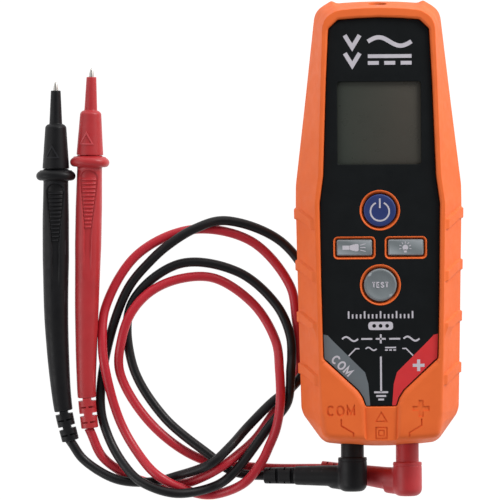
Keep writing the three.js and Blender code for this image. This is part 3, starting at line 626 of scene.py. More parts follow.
def weigh_normals(obj, sharp=38):
    """Flat faces keep a flat look beside rounded edges."""
    work = bmesh.new()
    work.from_mesh(obj.data)
    bmesh.ops.triangulate(work, faces=[face for face in work.faces if len(face.verts) > 4])
    work.to_mesh(obj.data)
    work.free()
    obj.data.shade_smooth()
    for face in obj.data.polygons:
        if abs(face.normal.z) > LEVEL:
            face.use_smooth = False
    obj.data.set_sharp_from_angle(angle=math.radians(sharp))
    modifier = obj.modifiers.new("normals", "WEIGHTED_NORMAL")
    modifier.keep_sharp = True
    modifier.weight = 70


def rounded_rectangle(x, y, width, height, radius, corner_steps=6):
    """A clockwise rounded rectangle."""
    points = []
    for across, up, first in ((1, 1, 90), (1, -1, 0), (-1, -1, -90), (-1, 1, 180)):
        corner = (x + across * (width / 2 - radius), y + up * (height / 2 - radius))
        for k in range(corner_steps + 1):
            angle = math.radians(first - 90 * k / corner_steps)
            points.append((corner[0] + radius * math.cos(angle), corner[1] + radius * math.sin(angle)))
    return np.array(points)


def disc_loop(x, y, radius, sides=72):
    angles = -2 * np.pi * np.arange(sides) / sides
    return np.stack([x + radius * np.cos(angles), y + radius * np.sin(angles)], axis=1)


def softened(points, cut=0.8):
    """A closed outline with every corner rounded off alike, and the steps between its corners."""
    steps = [4] * len(points)
    return smooth_loop(points, [cut] * len(points), steps), steps


def mouth_cutter(name, loop, widths, floor_z, top_z, bend=5):
    """A cutter whose mouth opens in a round edge, with one width or a width at each point."""
    widths = np.broadcast_to(np.asarray(widths, float), (len(loop),))
    reach = widths * np.clip(widths, 1, 1.4)  # a wide edge is shallower than it is wide
    outward = -inward(loop)
    levels = [(loop, floor_z)]
    for angle in np.radians(84) * np.arange(bend + 1) / bend:
        levels.append((
            loop + outward * (reach * (1 - math.cos(angle)))[:, None],
            top_z - widths * (1 - math.sin(angle))))
    return lofted(name, [*levels, (levels[-1][0] + outward * 0.35, top_z + 0.4)])


# ---------- printed and engraved marks


def ribbon(points, width, closed=False):
    """The two sides of a stroke of some width along a line of points."""
    points = np.array(points, float)
    normals = []
    count = len(points)
    for i in range(count):
        previous = points[i] - points[i - 1] if (closed or i > 0) else points[1] - points[0]
        following = points[(i + 1) % count] - points[i] if (closed or i < count - 1) else previous
        a = np.array([-previous[1], previous[0]]) / np.linalg.norm(previous)
        b = np.array([-following[1], following[0]]) / np.linalg.norm(following)
        middle = (a + b) / max(np.linalg.norm(a + b), 1e-9)
        normals.append(middle / max(middle @ a, 0.4))
    offset = np.array(normals) * width / 2
    return points + offset, points - offset


def stroke(points, width, low, high, closed=False):
    """Vertices and faces of a raised or sunk stroke."""
    sides = zip(*ribbon(points, width, closed))
    return skin([[(*a, low), (*b, low), (*b, high), (*a, high)] for a, b in sides], closed)


def strokes(lines, width, low, high):
    return [stroke(line, width, low, high) for line in lines]


def slab(loop, low, high):
    return skin([at_height(np.array(loop, float), z) for z in (low, high)])


def joined(name, parts, sharp=30):
    """One object from several sets of vertices and faces."""
    vertices, faces = [], []
    for part_vertices, part_faces in parts:
        base = len(vertices)
        vertices.extend(part_vertices)
        faces.extend(tuple(base + i for i in face) for face in part_faces)
    return new_mesh(name, vertices, faces, sharp)


def bow(x, y, width, height, start, end, steps=30):
    """A stretch of an ellipse, between two angles in degrees."""
    angles = np.radians(np.linspace(start, end, steps + 1))
    return np.stack([x + width / 2 * np.cos(angles), y + height / 2 * np.sin(angles)], axis=1)


# Plain letters of height 1 as strokes: their width, then the lines of each and whether they close.
LETTERS = {
    "C": (0.66, [(bow(0.36, 0.5, 0.72, 1, 45, 315), False)]),
    "O": (0.74, [(bow(0.37, 0.5, 0.74, 1, 0, 350, 35), True)]),
    "M": (0.76, [([(0, 0), (0, 1), (0.38, 0.22), (0.76, 1), (0.76, 0)], False)]),
    "T": (0.6, [([(0, 1), (0.6, 1)], False), ([(0.3, 1), (0.3, 0)], False)]),
    "E": (0.5, [([(0.5, 1), (0, 1), (0, 0), (0.5, 0)], False), ([(0, 0.5), (0.45, 0.5)], False)]),
    "S": (0.58, [(curve_points([
        (0.57, 0.8), (0.3, 1), (0.03, 0.78), (0.28, 0.53), (0.57, 0.24), (0.3, 0), (0.01, 0.2)],
        per_span=8), False)]),
}


def word(text, centre, height, weight, low, high, turn=0.0, space=0.42):
    """Plain lettering as vertices and faces, centred on a point."""
    scale = height - weight
    total = sum(LETTERS[letter][0] for letter in text) * scale + space * scale * (len(text) - 1)
    c, q = math.cos(math.radians(turn)), math.sin(math.radians(turn))
    at = -total / 2
    parts = []
    for letter in text:
        width, lines = LETTERS[letter]
        for line, closed in lines:
            flat = np.array(line, float) * scale + [at, -scale / 2]
            flat = flat @ np.array([[c, q], [-q, c]]) + np.array(centre)
            parts.append(stroke(flat, weight, low, high, closed))
        at += (width + space) * scale
    return parts


def cross(x, y, size, width):
    """The outline of a plus sign."""
    a, b = size / 2, width / 2
    arm = ((-b, a), (b, a), (b, b))
    points = []
    for _ in range(4):
        points += arm
        arm = [(v, -u) for u, v in arm]
    return [(x + u, y + v) for u, v in points]


# ---------- the case

SIDE_ROUND = 0.28
END_ROUND = 2.4
ENGRAVING = 0.4
POWER_KEY = (0, 5, 6.5)
TEST_KEY = (0, -24.9, 6.6)
FLAT_KEY_X, FLAT_KEY_Y = 10.3, -9.9
FLAT_KEY_SIZE = (14.2, 6.4)
ROUND_COLLAR = 1.42
FLAT_COLLAR = 1.18
COLLAR_GAP = 0.22  # where the deck's holes lie between a key and its collar's crest
DISPLAY = (0, 40)
DISPLAY_HOLE = 30
CASE_SCREWS = ((-13.5, 68), (13.5, 68), (-15.5, -58), (15.5, -58))
FRONT_BOSS_R = 3.2
REAR_BOSS_R = 3.6
SCREW_HOLE_R = 1.5
LIGHT_Z = 25
LIGHT_R = 3.5


def slope_corners(z):
    """The corners of the sloping side's outline at a height, or at a height for each corner."""
    share = (np.reshape(z, (-1, 1)) - BELT_Z) / (RIM_EDGE_Z - BELT_Z)
    return BELT_CORNERS + (RIM_CORNERS - BELT_CORNERS) * share


def front_body():
    """The sloping orange body with its grip ribs, before anything is cut from it."""
    into = inward(BELT)
    belt_ribs = BELT - into * rib_height(BELT, BELT_Z)[:, None]
    levels = [
        (BELT + into * 0.35, PARTING_Z), (BELT + into * 0.1, PARTING_Z + 0.12),
        (belt_ribs, PARTING_Z + 0.4), (belt_ribs, BELT_Z - 0.25)]
    softness = smoothstep((-70 - RIM_CORNERS[:, 1]) / 12)
    roundness = SIDE_ROUND + (END_ROUND - SIDE_ROUND) * softness
    for share in np.linspace(0.012, 1, 34):
        heights = BELT_Z + (RIM_Z - roundness - BELT_Z) * share
        loop = sampled(slope_corners(heights))
        proud = rib_height(loop, float(BELT_Z + (RIM_Z - SIDE_ROUND - BELT_Z) * share))
        levels.append((loop - into * proud[:, None], spread(heights)))
    lip = slope_corners(RIM_Z - roundness)
    crest = slope_corners(RIM_Z)
    top = narrowed(crest, roundness)
    for t in np.linspace(0, 1, 7)[1:]:
        corners = (1 - t) ** 2 * lip + 2 * t * (1 - t) * crest + t * t * top
        levels.append((sampled(corners), spread(RIM_Z - (1 - t) ** 2 * roundness)))
    return lofted("front_boot", levels)


def grown(half, distance):
    """A whole outline moved outward by a distance, and the third value of each of its corners."""
    whole = mirrored(half)
    loop = whole[:, :2]
    return loop - inward(loop) * distance, whole[:, 2]


def face_cutters():
    """The opening down to the strip, then the deeper pocket that the panel lies in."""
    opening, rounding = grown(OPENING_HALF, GAP)
    pocket, _ = grown(PANEL_HALF, GAP + 0.04)
    sill = [0.45 if y < -73 else 0.02 for _, y in pocket]
    for name, corners, widths, low, high in (
            ("face_cut", opening, rounding, STRIP_Z, RIM_Z), ("pocket_cut", pocket, sill, DECK_Z, STRIP_Z)):
        loop, steps = softened(corners)
        yield mouth_cutter(name, loop, spread(widths, steps), low, high)


def inner_cavity():
    belt, deck = (
        sampled(narrowed(corners, WALL)) for corners in (BELT_CORNERS, slope_corners(DECK_UNDERSIDE_Z)))
    return lofted("cavity", [(belt, PARTING_Z - 1), (belt, BELT_Z), (deck, DECK_UNDERSIDE_Z)])


def engravings():
    """Marks sunk into the pads and the strip between them."""
    low, high = RIM_Z - ENGRAVING, RIM_Z + 0.5
    strip_low = STRIP_Z - ENGRAVING * 0.8
    yield joined("cut_com", word("COM", (-16.2, -75.2), 4.4, 0.85, low, high))
    yield joined("cut_plus", [slab(cross(15.9, -74.4, 6.8, 2), low, high)])
    for side in (-1, 1):
        path = [(side * x, y) for x, y in ((16.1, -78.5), (16.1, -81.2), (11.2, -84.1), (11.2, -89))]
        yield joined("cut_line", [stroke(path, 0.6, low, high)])
    triangle = [(0, -75.9), (2.15, -79.5), (-2.15, -79.5)]
    yield joined("cut_triangle", [stroke(triangle, 0.5, strip_low, high, closed=True)])
    for size, width in ((4.4, 0.55), (2.1, 0.45)):
        square = rounded_rectangle(0, -84.2, size, size, 0.15, 2)
        yield joined("cut_square", [stroke(square, width, strip_low, high, closed=True)])


def key_holes(share):
    """Outlines around the four keys: share is 0 at the key and 1 at the crest of its collar."""
    for x, y, radius in (POWER_KEY, TEST_KEY):
        yield disc_loop(x, y, radius + share * ROUND_COLLAR)
    width, height = FLAT_KEY_SIZE
    grow = share * FLAT_COLLAR
    for side in (-1, 1):
        yield rounded_rectangle(
            side * FLAT_KEY_X, FLAT_KEY_Y - grow * 0.1, width + 2 * grow, height + 2 * grow, 0.5 + grow)


def jack_holes():
    return [
        cylinder("jack_cut", *((side * JACK_X, y, PARTING_Z) for y in JACK_HOLE_Y), JACK_HOLE_R)
        for side in (-1, 1)]


def posts(name, low, high, radius, sides=64):
    """An upright cylinder at each of the four case screws."""
    return [cylinder(name, (x, y, low), (x, y, high), radius, sides) for x, y in CASE_SCREWS]


def make_front():
    deck = (DECK_UNDERSIDE_Z - 2, DECK_Z + 1)
    boot = front_body()
    carve(boot, [inner_cavity(), *face_cutters(), *engravings()])
    carve(boot, [prism("key_cut", loop, *deck) for loop in key_holes(COLLAR_GAP)])
    carve(boot, [
        prism("display_cut", rounded_rectangle(*DISPLAY, DISPLAY_HOLE, DISPLAY_HOLE, 0.5), *deck),
        cylinder("light_cut", (0, 80, LIGHT_Z), (0, 95, LIGHT_Z), LIGHT_R + 0.35),
        *jack_holes()])
    weigh_normals(boot)
    dress(boot, "boot", "tester", "orange_shell", "front_case")
    bosses = [solid_of(boss) for boss in posts("boss", PARTING_Z, DECK_UNDERSIDE_Z + 0.5, FRONT_BOSS_R)]
    dress(joined("screw_bosses", bosses), "boot", "tester", "orange_shell")


def solid_of(obj):
    """The vertices and faces of an object in millimetres, and the object removed."""
    vertices = [tuple(c / MM for c in v.co) for v in obj.data.vertices]
    faces = [tuple(p.vertices) for p in obj.data.polygons]
    bpy.data.objects.remove(obj)
    return vertices, faces


# A collar's section: its share of the way from the key to the crest, and its height.
COLLAR_PROFILE = (
    (1.15, 31.5), (1.15, 34.2), (1.09, 34.38), (1, 34.43), (0.88, 34.38), (0.72, 34.1), (0.55, 33.55),
    (0.4, 32.9), (0.2, 32.2), (0.2, 31.5))


def make_collars():
    """The orange funnels that the keys stand in."""
    rings = [
        [at_height(loop, z) for loop in key_holes(share)] for share, z in COLLAR_PROFILE]
    for index, key_rings in enumerate(zip(*rings)):
        collar = new_mesh(f"key_collar_{index + 1}", *skin(key_rings, loop=True), sharp=60)
        dress(collar, "boot", "tester", "orange_shell")


# ---------- the rear half

REAR_ROUND = 0.8
DOOR_HALF_WIDTH = 12.9
DOOR_TOP_Y = 26.2
DOOR_BOTTOM_Y = -33.8
DOOR_MIDDLE_Y = (DOOR_TOP_Y + DOOR_BOTTOM_Y) / 2
DOOR_LENGTH = DOOR_TOP_Y - DOOR_BOTTOM_Y
DOOR_SCREW = (0, -30.2)
DOOR_LOW_Z = 0.3
DOOR_HIGH_Z = 2.4
DOOR_GAP = 0.25
BAY_WALL = 1.4
BAY_LENGTH = 50.8
BAY_ROOF_Z = 13.4
SCREW_SINK_R = 2.7
LABEL = (0, 50)


def rear_levels():
    """Outlines of the rear half from the foot up to the parting line, with the ribs' lower ends."""
    into = inward(FOOT)
    side = inward(BELT)
    flare = FOOT + (BELT - FOOT) * 0.08 - into * 0.6
    levels = [
        (FOOT + into * (REAR_ROUND * (1 - math.cos(a))), REAR_ROUND * (1 - math.sin(a)))
        for a in np.radians(np.linspace(90, 0, 6))]
    for t in (0.35, 0.7, 1):
        levels.append((FOOT + (flare - FOOT) * t, REAR_ROUND + (FOOT_TOP_Z - 0.7 - REAR_ROUND) * t))
    for t in np.linspace(0.06, 1, 22):
        z = FOOT_TOP_Z + (FLARE_TOP_Z - FOOT_TOP_Z) * t
        loop = flare + (BELT - flare) * t ** 1.06
        levels.append((loop - side * rib_height(loop, z)[:, None], z))
    for z in (FLARE_TOP_Z + 0.4, REAR_TOP_Z - 0.35):
        levels.append((BELT - side * rib_height(BELT, z)[:, None], z))
    ribbed = side * (0.12 - rib_height(BELT, REAR_TOP_Z - 0.12))[:, None]
    return [*levels, (BELT + ribbed, REAR_TOP_Z - 0.12), (BELT + side * 0.4, REAR_TOP_Z)]


def door_outline(spare, radius):
    """The battery door's outline, larger all round by a margin."""
    return rounded_rectangle(
        0, DOOR_MIDDLE_Y, 2 * (DOOR_HALF_WIDTH + spare), DOOR_LENGTH + 2 * spare, radius)


def make_rear():
    shell = lofted("rear_shell", rear_levels())
    foot, belt = (
        sampled(narrowed(corners, wall))
        for corners, wall in ((FOOT_CORNERS, WALL + 0.7), (BELT_CORNERS, WALL)))
    carve(shell, [lofted("cavity", [
        (foot, WALL), (foot, FOOT_TOP_Z), (belt, FLARE_TOP_Z + 0.5), (belt, PARTING_Z + 1)])])
    bay = prism("bay", door_outline(BAY_WALL, 1), 1, BAY_ROOF_Z + BAY_WALL)
    carve(shell, [bay, *posts("boss", 1, REAR_TOP_Z, REAR_BOSS_R)], "UNION")
    doorway = mouth_cutter("doorway", door_outline(DOOR_GAP, 1.4), DOOR_GAP, -DOOR_HIGH_Z - GAP, 0)
    flip(doorway)
    grips = [
        prism("grip", rounded_rectangle(0, y, 24 - 0.6 * k, 1.1, 0.5), -1, 0.45)
        for k, y in enumerate(np.arange(-46, -76, -3.2))]
    carve(shell, [
        prism("bay_cut", rounded_rectangle(0, 0, 2 * DOOR_HALF_WIDTH, BAY_LENGTH, 0.6), -1, BAY_ROOF_Z),
        doorway,
        prism("label", rounded_rectangle(*LABEL, 29, 30, 1.6), -1, 0.35),
        *grips,
        *posts("sink", -1, 2.6, SCREW_SINK_R),
        *posts("shaft", 2, REAR_TOP_Z + 1, SCREW_HOLE_R, 32),
        cylinder("shaft", (*DOOR_SCREW, 0), (*DOOR_SCREW, 10), SCREW_HOLE_R, 32),
        *jack_holes()])
    weigh_normals(shell)
    dress(shell, "boot", "tester", "orange_shell", "rear_case")


def flip(obj):
    """Turns a cutter made for the front face over, for the back face."""
    for vertex in obj.data.vertices:
        vertex.co.z = -vertex.co.z
    finish_mesh(obj)


def make_door():
    """The battery door: grip ribs, an arrow, a sign for each cell's ends, and a sunk screw hole."""
    levels = (
        (0.45, DOOR_LOW_Z), (0.12, DOOR_LOW_Z + 0.12), (0, DOOR_LOW_Z + 0.45), (0, DOOR_HIGH_Z))
    door = lofted("battery_door_cover", [(door_outline(-inset, 1.2 - inset), z) for inset, z in levels])
    ribs = [
        prism("rib", rounded_rectangle(0, y, 15, 0.9, 0.4), -1, DOOR_LOW_Z + 0.4)
        for y in np.arange(21.4, 11, -1.8)]
    arrow = joined("arrow", [slab([(0, -24.2), (3, -20.4), (-3, -20.4)], -1, DOOR_LOW_Z + 0.35)])
    marks = []
    sunk = (-1, DOOR_LOW_Z + 0.3)
    for x, end in ((-5.6, 7.5), (5.6, -7.5)):
        outline = rounded_rectangle(x, -5, 7, 22, 0.8, 2)
        marks += [
            joined("mark", [stroke(outline, 0.45, *sunk, closed=True)]),
            joined("mark", [slab(cross(x, -5 + end, 3, 0.7), *sunk)]),
            prism("mark", rounded_rectangle(x, -5 - end, 3, 0.7, 0.2), *sunk)]
    carve(door, [
        *ribs, arrow, *marks,
        cylinder("sink", (*DOOR_SCREW, -1), (*DOOR_SCREW, 1.5), SCREW_SINK_R),
        cylinder("hole", (*DOOR_SCREW, -1), (*DOOR_SCREW, 4), SCREW_HOLE_R, 32)])
    weigh_normals(door)
    dress(door, "door", "battery_door", "black_plastic", "battery_door")


def make_label():
    """A blank foil label in its recess on the back."""
    plate = lofted("blank_label", [
        (rounded_rectangle(*LABEL, 28 + spare, 29 + spare, radius), z)
        for spare, radius, z in ((0.2, 1.4, 0.3), (0.4, 1.4, 0.24), (0, 1.3, 0.2))])
    dress(plate, "white", "tester", "white_plastic")


def make_screw(name, place, head_z, head_height, tip_z, body, node):
    """A pan-head screw with a cross recess, head downwards."""
    pitch = 0.8
    neck = head_z + head_height
    profile = [(0.3, tip_z), (1.2, tip_z - 1.2)]
    z = tip_z - 1.3
    while z > neck + pitch:
        profile += [(1.25, z), (0.95, z - pitch / 2)]
        z -= pitch
    profile += [(1.2, neck), (2.15, neck), (2.3, neck - 0.2), (2.3, head_z + 0.3), (2.1, head_z + 0.1),
                (1.6, head_z)]
    screw = new_mesh(name, *skin([at_height(disc_loop(*place, r, 40), z) for r, z in reversed(profile)]))
    carve(screw, [joined("slot", [slab(cross(*place, 2.6, 0.62), head_z - 0.5, head_z + 0.55)])])
    weigh_normals(screw, 35)
    dress(screw, "steel", body, "screw_steel", node)


def make_screws():
    make_screw("door_screw", DOOR_SCREW, 0.4, 0.8, 9, "battery_door_screw", "battery_door_screw")
    for i, place in enumerate(CASE_SCREWS):
        make_screw(f"shell_screw_{i + 1}", place, 1, 1.3, 24, "tester", f"case_screw_{i + 1}")


# ---------- the face

WINDOW = (*DISPLAY, 33.6, 33.2)
KEY_CLEARANCE = 1.18  # the panel's holes, as a share of the way to a collar's crest
INK = 0.03  # how far printed marks stand off the panel
INK_LAYER = 0.02  # how far a mark stands off the mark under it


def make_panel():
    outline, _ = softened(mirrored(PANEL_HALF)[:, :2])
    into = inward(outline)
    panel = lofted("face_plate", [
        (outline, PANEL_Z - 1.5), (outline, PANEL_Z - 0.3), (outline + into * 0.09, PANEL_Z - 0.09),
        (outline + into * 0.3, PANEL_Z)])
    window = mouth_cutter("window_cut", rounded_rectangle(*WINDOW, 1.1, 4), 0.3, PANEL_Z - 3, PANEL_Z)
    holes = [prism("hole", hole, PANEL_Z - 3, PANEL_Z + 1) for hole in key_holes(KEY_CLEARANCE)]
    carve(panel, [window, *holes])
    weigh_normals(panel)
    dress(panel, "panel", "tester", "black_panel", "face_panel")


# The coloured band along the panel's cut-away corner, right side.
BAND = (
    (22.92, -44.6), (22.57, -54.3), (21.12, -55.4), (8.92, -66.9), (6.92, -69.95), (5.92, -73.2),
    (4.4, -73.2), (5.1, -64.5), (6.4, -59.9), (19.2, -47.2), (21.2, -45))


def printed(name, material, slot, parts, body="tester"):
    dress(joined(name, parts), material, body, slot)


def bars(marks, width, low, high):
    """Level strokes: marks are (middle, height, length)."""
    lines = [[(x - length / 2, y), (x + length / 2, y)] for x, y, length in marks]
    return strokes(lines, width, low, high)


def make_print():
    """Generic marks on the panel: coloured jack bands, voltage signs, a scale and the ground sign."""
    low, high = PANEL_Z - 0.05, PANEL_Z + INK
    upper = (high - INK_LAYER, high + INK_LAYER)
    for side, name, ink, slot in (
            (-1, "common_band", "grey_ink", "key_grey"), (1, "positive_band", "red_ink", "red_plastic")):
        printed(name, ink, slot, [slab([(side * x, y) for x, y in BAND], low, high)])
    printed("band_marks", "ink", "white_plastic", [
        *word("COM", (-15.6, -57.2), 3.8, 0.72, *upper, turn=-45, space=0.38),
        slab(cross(15.1, -57.2, 4.7, 1.25), *upper)])
    stem = [(0, -53.6), (0, -67.9)]
    rungs = ((0, -67.9, 5.6), (0, -69.4, 4), (0, -70.8, 2.3))
    hooks = [[(side * x, y) for x, y in ((8.6, -50.4), (10.1, -50.4), (12.9, -53.3))] for side in (-1, 1)]
    ticks = [[(k * 1.6, -38.3), (k * 1.6, -35.4 if k % 4 == 0 else -36.6)] for k in range(-8, 9)]
    waves = [wave(side * 12.3, -46.5, 6.4, 0.85) for side in (-1, 1)]
    dashes = ((-5.6, -46.5, 4.4), (5.6, -46.5, 4.4), (0, -46.5, 4))
    printed("panel_print", "ink", "white_plastic", [
        stroke(stem, 0.75, low, high),
        *bars(rungs, 0.75, low, high),
        *strokes(hooks, 0.5, low, high),
        *sign_of_volts(low, high),
        slab(rounded_rectangle(0, -41.3, 9.9, 3.3, 1.2), low, high),
        *strokes(ticks, 0.62, low, high),
        *strokes(waves, 0.7, low, high),
        *bars(dashes, 0.7, low, high),
        stroke([(0, -48.3), (0, -44.7)], 0.7, low, high),
        stroke(wave(-3.9, -50.5, 4.4, 0.6), 0.55, low, high),
        *direct_sign(3.9, -50.5, 4.4, 0.55, low, high)])
    printed("pill_marks", "panel", "black_panel", [
        slab(disc_loop(x, -41.3, 0.75, 24), *upper) for x in (-2.6, 0, 2.6)])


def wave(x, y, length, height, steps=28):
    """One period of a sine wave."""
    share = np.linspace(0, 1, steps + 1)
    return np.stack([x + length * (share - 0.5), y + height * np.sin(2 * np.pi * share)], axis=1)


def direct_sign(x, y, length, width, low, high):
    """The direct-current sign: a bar over three dashes."""
    rise = width * 0.9
    dashes = [(x + k * length * 0.375, y - rise, length / 4) for k in (-1, 0, 1)]
    return bars([(x, y + rise, length), *dashes], width, low, high)


def sign_of_volts(low, high):
    """Alternating and direct volts, large, above the display."""
    top, bottom = 72.6, 65.4
    vees = [[(-13.6, y + 2.6), (-10.6, y - 2.3), (-7.6, y + 2.6)] for y in (top, bottom)]
    return [
        *strokes([*vees, wave(4.4, top, 17.5, 1.7, 40)], 1.7, low, high),
        *direct_sign(4.4, bottom, 17.5, 1.5, low, high)]


def make_display():
    """The window over the display: a smoked slab held under the edge of the panel's opening."""
    x, y, width, height = WINDOW
    window = lofted("display_pane", [
        (rounded_rectangle(x, y, width + spare, height + spare, 1), z)
        for spare, z in ((0.5, DECK_Z + 0.02), (0.5, PANEL_Z - 1.55), (0.4, PANEL_Z - 1.53))], sharp=40)
    dress(window, "lcd", "tester", "lcd", "display_window")


# ---------- keys

KEY_LOW_Z = 28.9
KEY_FLANGE_Z = 30.1

# How a round key narrows towards its top: shares of its radius, and heights.
POWER_CROWN = (
    (1, 33.6), (0.995, 34), (0.982, 34.25), (0.955, 34.43), (0.92, 34.5), (0.8, 34.47), (0.5, 34.36),
    (0.25, 34.31), (0.02, 34.3))
TEST_CROWN = (
    (1, 33.7), (0.992, 34.1), (0.975, 34.38), (0.945, 34.58), (0.905, 34.68), (0.87, 34.68),
    (0.83, 34.62), (0.78, 34.5), (0.7, 34.33), (0.58, 34.16), (0.42, 34.04), (0.25, 33.98), (0.02, 33.96))


def round_key(name, key, crown, material, body, slot, node):
    x, y, radius = key
    stem, flange = radius * 0.28, radius + 1.1
    profile = [(stem, 28), (stem, KEY_LOW_Z), (flange, KEY_LOW_Z), (flange, KEY_FLANGE_Z),
               (radius, KEY_FLANGE_Z), *((radius * share, z) for share, z in crown)]
    piece = new_mesh(name, *skin([at_height(disc_loop(x, y, r), z) for r, z in profile]))
    dress(piece, material, body, slot, node)


def make_round_keys():
    """The power key with its symbol and the dished test key with its plain word."""
    round_key("power_cap", POWER_KEY, POWER_CROWN, "blue_key", "power_key", "key_blue", "power_button")
    x, y, _ = POWER_KEY
    low, high = 34.25, 34.46
    printed("power_symbol", "ink", "white_plastic", [
        stroke(bow(x, y - 0.45, 7.5, 7.5, 115, 425, 48), 0.66, low, high),
        stroke([(x, y + 0.9), (x, y + 4.75)], 0.66, low, high + INK_LAYER)], "power_key")
    round_key("test_cap", TEST_KEY, TEST_CROWN, "grey_key", "gfci_key", "key_grey", "gfci_button")
    mark = word("TEST", TEST_KEY[:2], 2.4, 0.5, 33.9, 34.12, space=0.36)
    printed("test_mark", "ink", "white_plastic", mark, "gfci_key")


def flat_key(side, name, body, node):
    x, y = side * FLAT_KEY_X, FLAT_KEY_Y
    width, height = FLAT_KEY_SIZE
    flange = rounded_rectangle(x, y, width + 2, height + 2, 1.2)
    levels = [(flange, KEY_LOW_Z), (flange, KEY_FLANGE_Z)]
    for inset, z in (
            (0, KEY_FLANGE_Z), (0, 33.75), (0.06, 34.05), (0.2, 34.28), (0.42, 34.42), (0.7, 34.45)):
        corner = max(0.8 - inset, 0.25)
        levels.append((rounded_rectangle(x, y, width - 2 * inset, height - 2 * inset, corner), z))
    piece = lofted(name, levels)
    weigh_normals(piece, 50)
    dress(piece, "grey_key", body, "key_grey", node)


def moved(points, x, y):
    return [(x + u, y + v) for u, v in points]


def make_flat_keys():
    """The two flat keys: a torch and its beam for the worklight, a shining bulb for the backlight."""
    flat_key(-1, "worklight_cap", "worklight_key", "worklight_button")
    flat_key(1, "backlight_cap", "backlight_key", "backlight_button")
    low, high = 34.4, 34.49
    x, y = -FLAT_KEY_X, FLAT_KEY_Y
    handle = [(-4.8, 0.85), (-1.9, 0.85), (-1.9, -0.85), (-4.8, -0.85)]
    cone = [(-2, 0.8), (-0.2, 1.35), (-0.2, -1.35), (-2, -0.8)]
    rim = rounded_rectangle(0.75, 0, 1.9, 2.9, 0.6)
    torch = [slab(moved(shape, x, y), low, high) for shape in (handle, cone, rim)]
    beams = [moved([(2.3, k * 0.95), (4.5, k * 1.55)], x, y) for k in (-1, 0, 1)]
    torch += strokes(beams, 0.32, low, high)
    printed("torch_symbol", "ink", "white_plastic", torch, "worklight_key")
    x, y = FLAT_KEY_X - 0.2, FLAT_KEY_Y - 0.1
    socket = [(-0.65, -0.8), (0.65, -0.8), (0.5, -2), (-0.5, -2)]
    bulb = [slab(disc_loop(x, y, 1.15, 32), low, high), slab(moved(socket, x, y), low, high)]
    for angle in np.radians(range(-12, 193, 34)):
        ray = np.array([math.cos(angle), math.sin(angle)])
        bulb.append(stroke([(x, y) + ray * 1.65, (x, y) + ray * 2.5], 0.3, low, high))
    printed("bulb_symbol", "ink", "white_plastic", bulb, "backlight_key")


def make_light():
    """The work light at the top end: a clear lens with its edges rounded off."""
    lens = cylinder("worklight_window", (0, 84.4, LIGHT_Z), (0, 87.6, LIGHT_Z), LIGHT_R)
    finish_mesh(lens, sharp=40)
    bevel = lens.modifiers.new("edge", "BEVEL")
    bevel.width = 0.35 * MM
    bevel.segments = 3
    bevel.limit_method = "ANGLE"
    dress(lens, "lens", "tester", "clear_window", "worklight_lens")


# ---------- the leads

# Where each lead's plug arm and probe lie, from the jack outward and from the tip back.
BLACK_ARM = [(-11.3, -102.2, 16.5), (-23, -102.2, 13.3), (-35, -102.2, 10), (-46.6, -102.3, 6.85)]
RED_ARM = [(10.9, -103.6, 16.5), (4, -103.5, 13), (-3, -103, 9.2), (-9, -102.1, 6.6),
           (-14, -101.2, 4.9), (-23.7, -99.9, 3.2)]
RED_PROBE_AXIS = [
    (-115.9, 63.7, 9.7), (-116.25, 51.7, 9.2), (-116.6, 39.7, 8.7), (-117, 25.9, 8.1),
    (-118, -10, 6.7), (-118.9, -42.6, 5.3), (-119, -70.2, 4.2), (-117.8, -83.6, 3.65)]
BLACK_PROBE_AXIS = [
    (-130.5, 58.3, 9.7), (-130.6, 46.3, 9.2), (-130.7, 34.3, 8.7), (-130.8, 20.5, 8.1),
    (-131.1, -10, 6.8), (-131, -42.5, 5.5), (-128.6, -75, 4.1), (-125.7, -88, 3.65)]
CAP_START, CAP_END = 3.5, 35.2
SHOULDER = 35.35
NOSE_START = 30
BODY_END = 134
TIP_R = 1.05
NOTCH = 1.3
SEGMENT = 4.9
SEGMENTS = 2
RELIEF_LENGTH = SEGMENTS * (NOTCH + SEGMENT)
# The relief's cutters: half sizes along, sideways and up, and how far off the axis they stand.
NOTCH_HALVES, NOTCH_ASIDE = (NOTCH / 2, 3, 6), 4.7
SLIT_HALVES, SLIT_ASIDE, SLIT_UP = (0.36, 1.35, 1.2), 1.85, 3.5


def rounded_profile(corners, radius, steps=4):
    """A turned profile with each inner corner rounded off."""
    points = np.array(corners, float)
    found = [points[0]]
    for i in range(1, len(points) - 1):
        before, here, after = points[i - 1], points[i], points[i + 1]
        start = here + (before - here) * min(radius / np.linalg.norm(before - here), 0.45)
        end = here + (after - here) * min(radius / np.linalg.norm(after - here), 0.45)
        for t in np.linspace(0, 1, steps + 1):
            found.append((1 - t) ** 2 * start + 2 * t * (1 - t) * here + t * t * end)
    found.append(points[-1])
    return [tuple(point) for point in found]


def oriented_box(name, line, s, half_sizes, roll, offset):
    """A box at a distance along a line, rolled about it. Half sizes are along, sideways and up."""
    along, side, up = half_sizes
    place, across, rise = line.frame(s)
    tangent = line.along(s)
    c, q = math.cos(math.radians(roll)), math.sin(math.radians(roll))
    across, rise = across * c + rise * q, rise * c - across * q
    place = place + across * offset[0] + rise * offset[1]
    rings = [
        [place + tangent * a + across * b + rise * d
         for b, d in ((-side, -up), (side, -up), (side, up), (-side, up))]
        for a in (-along, along)]
    return new_mesh(name, *skin(rings))


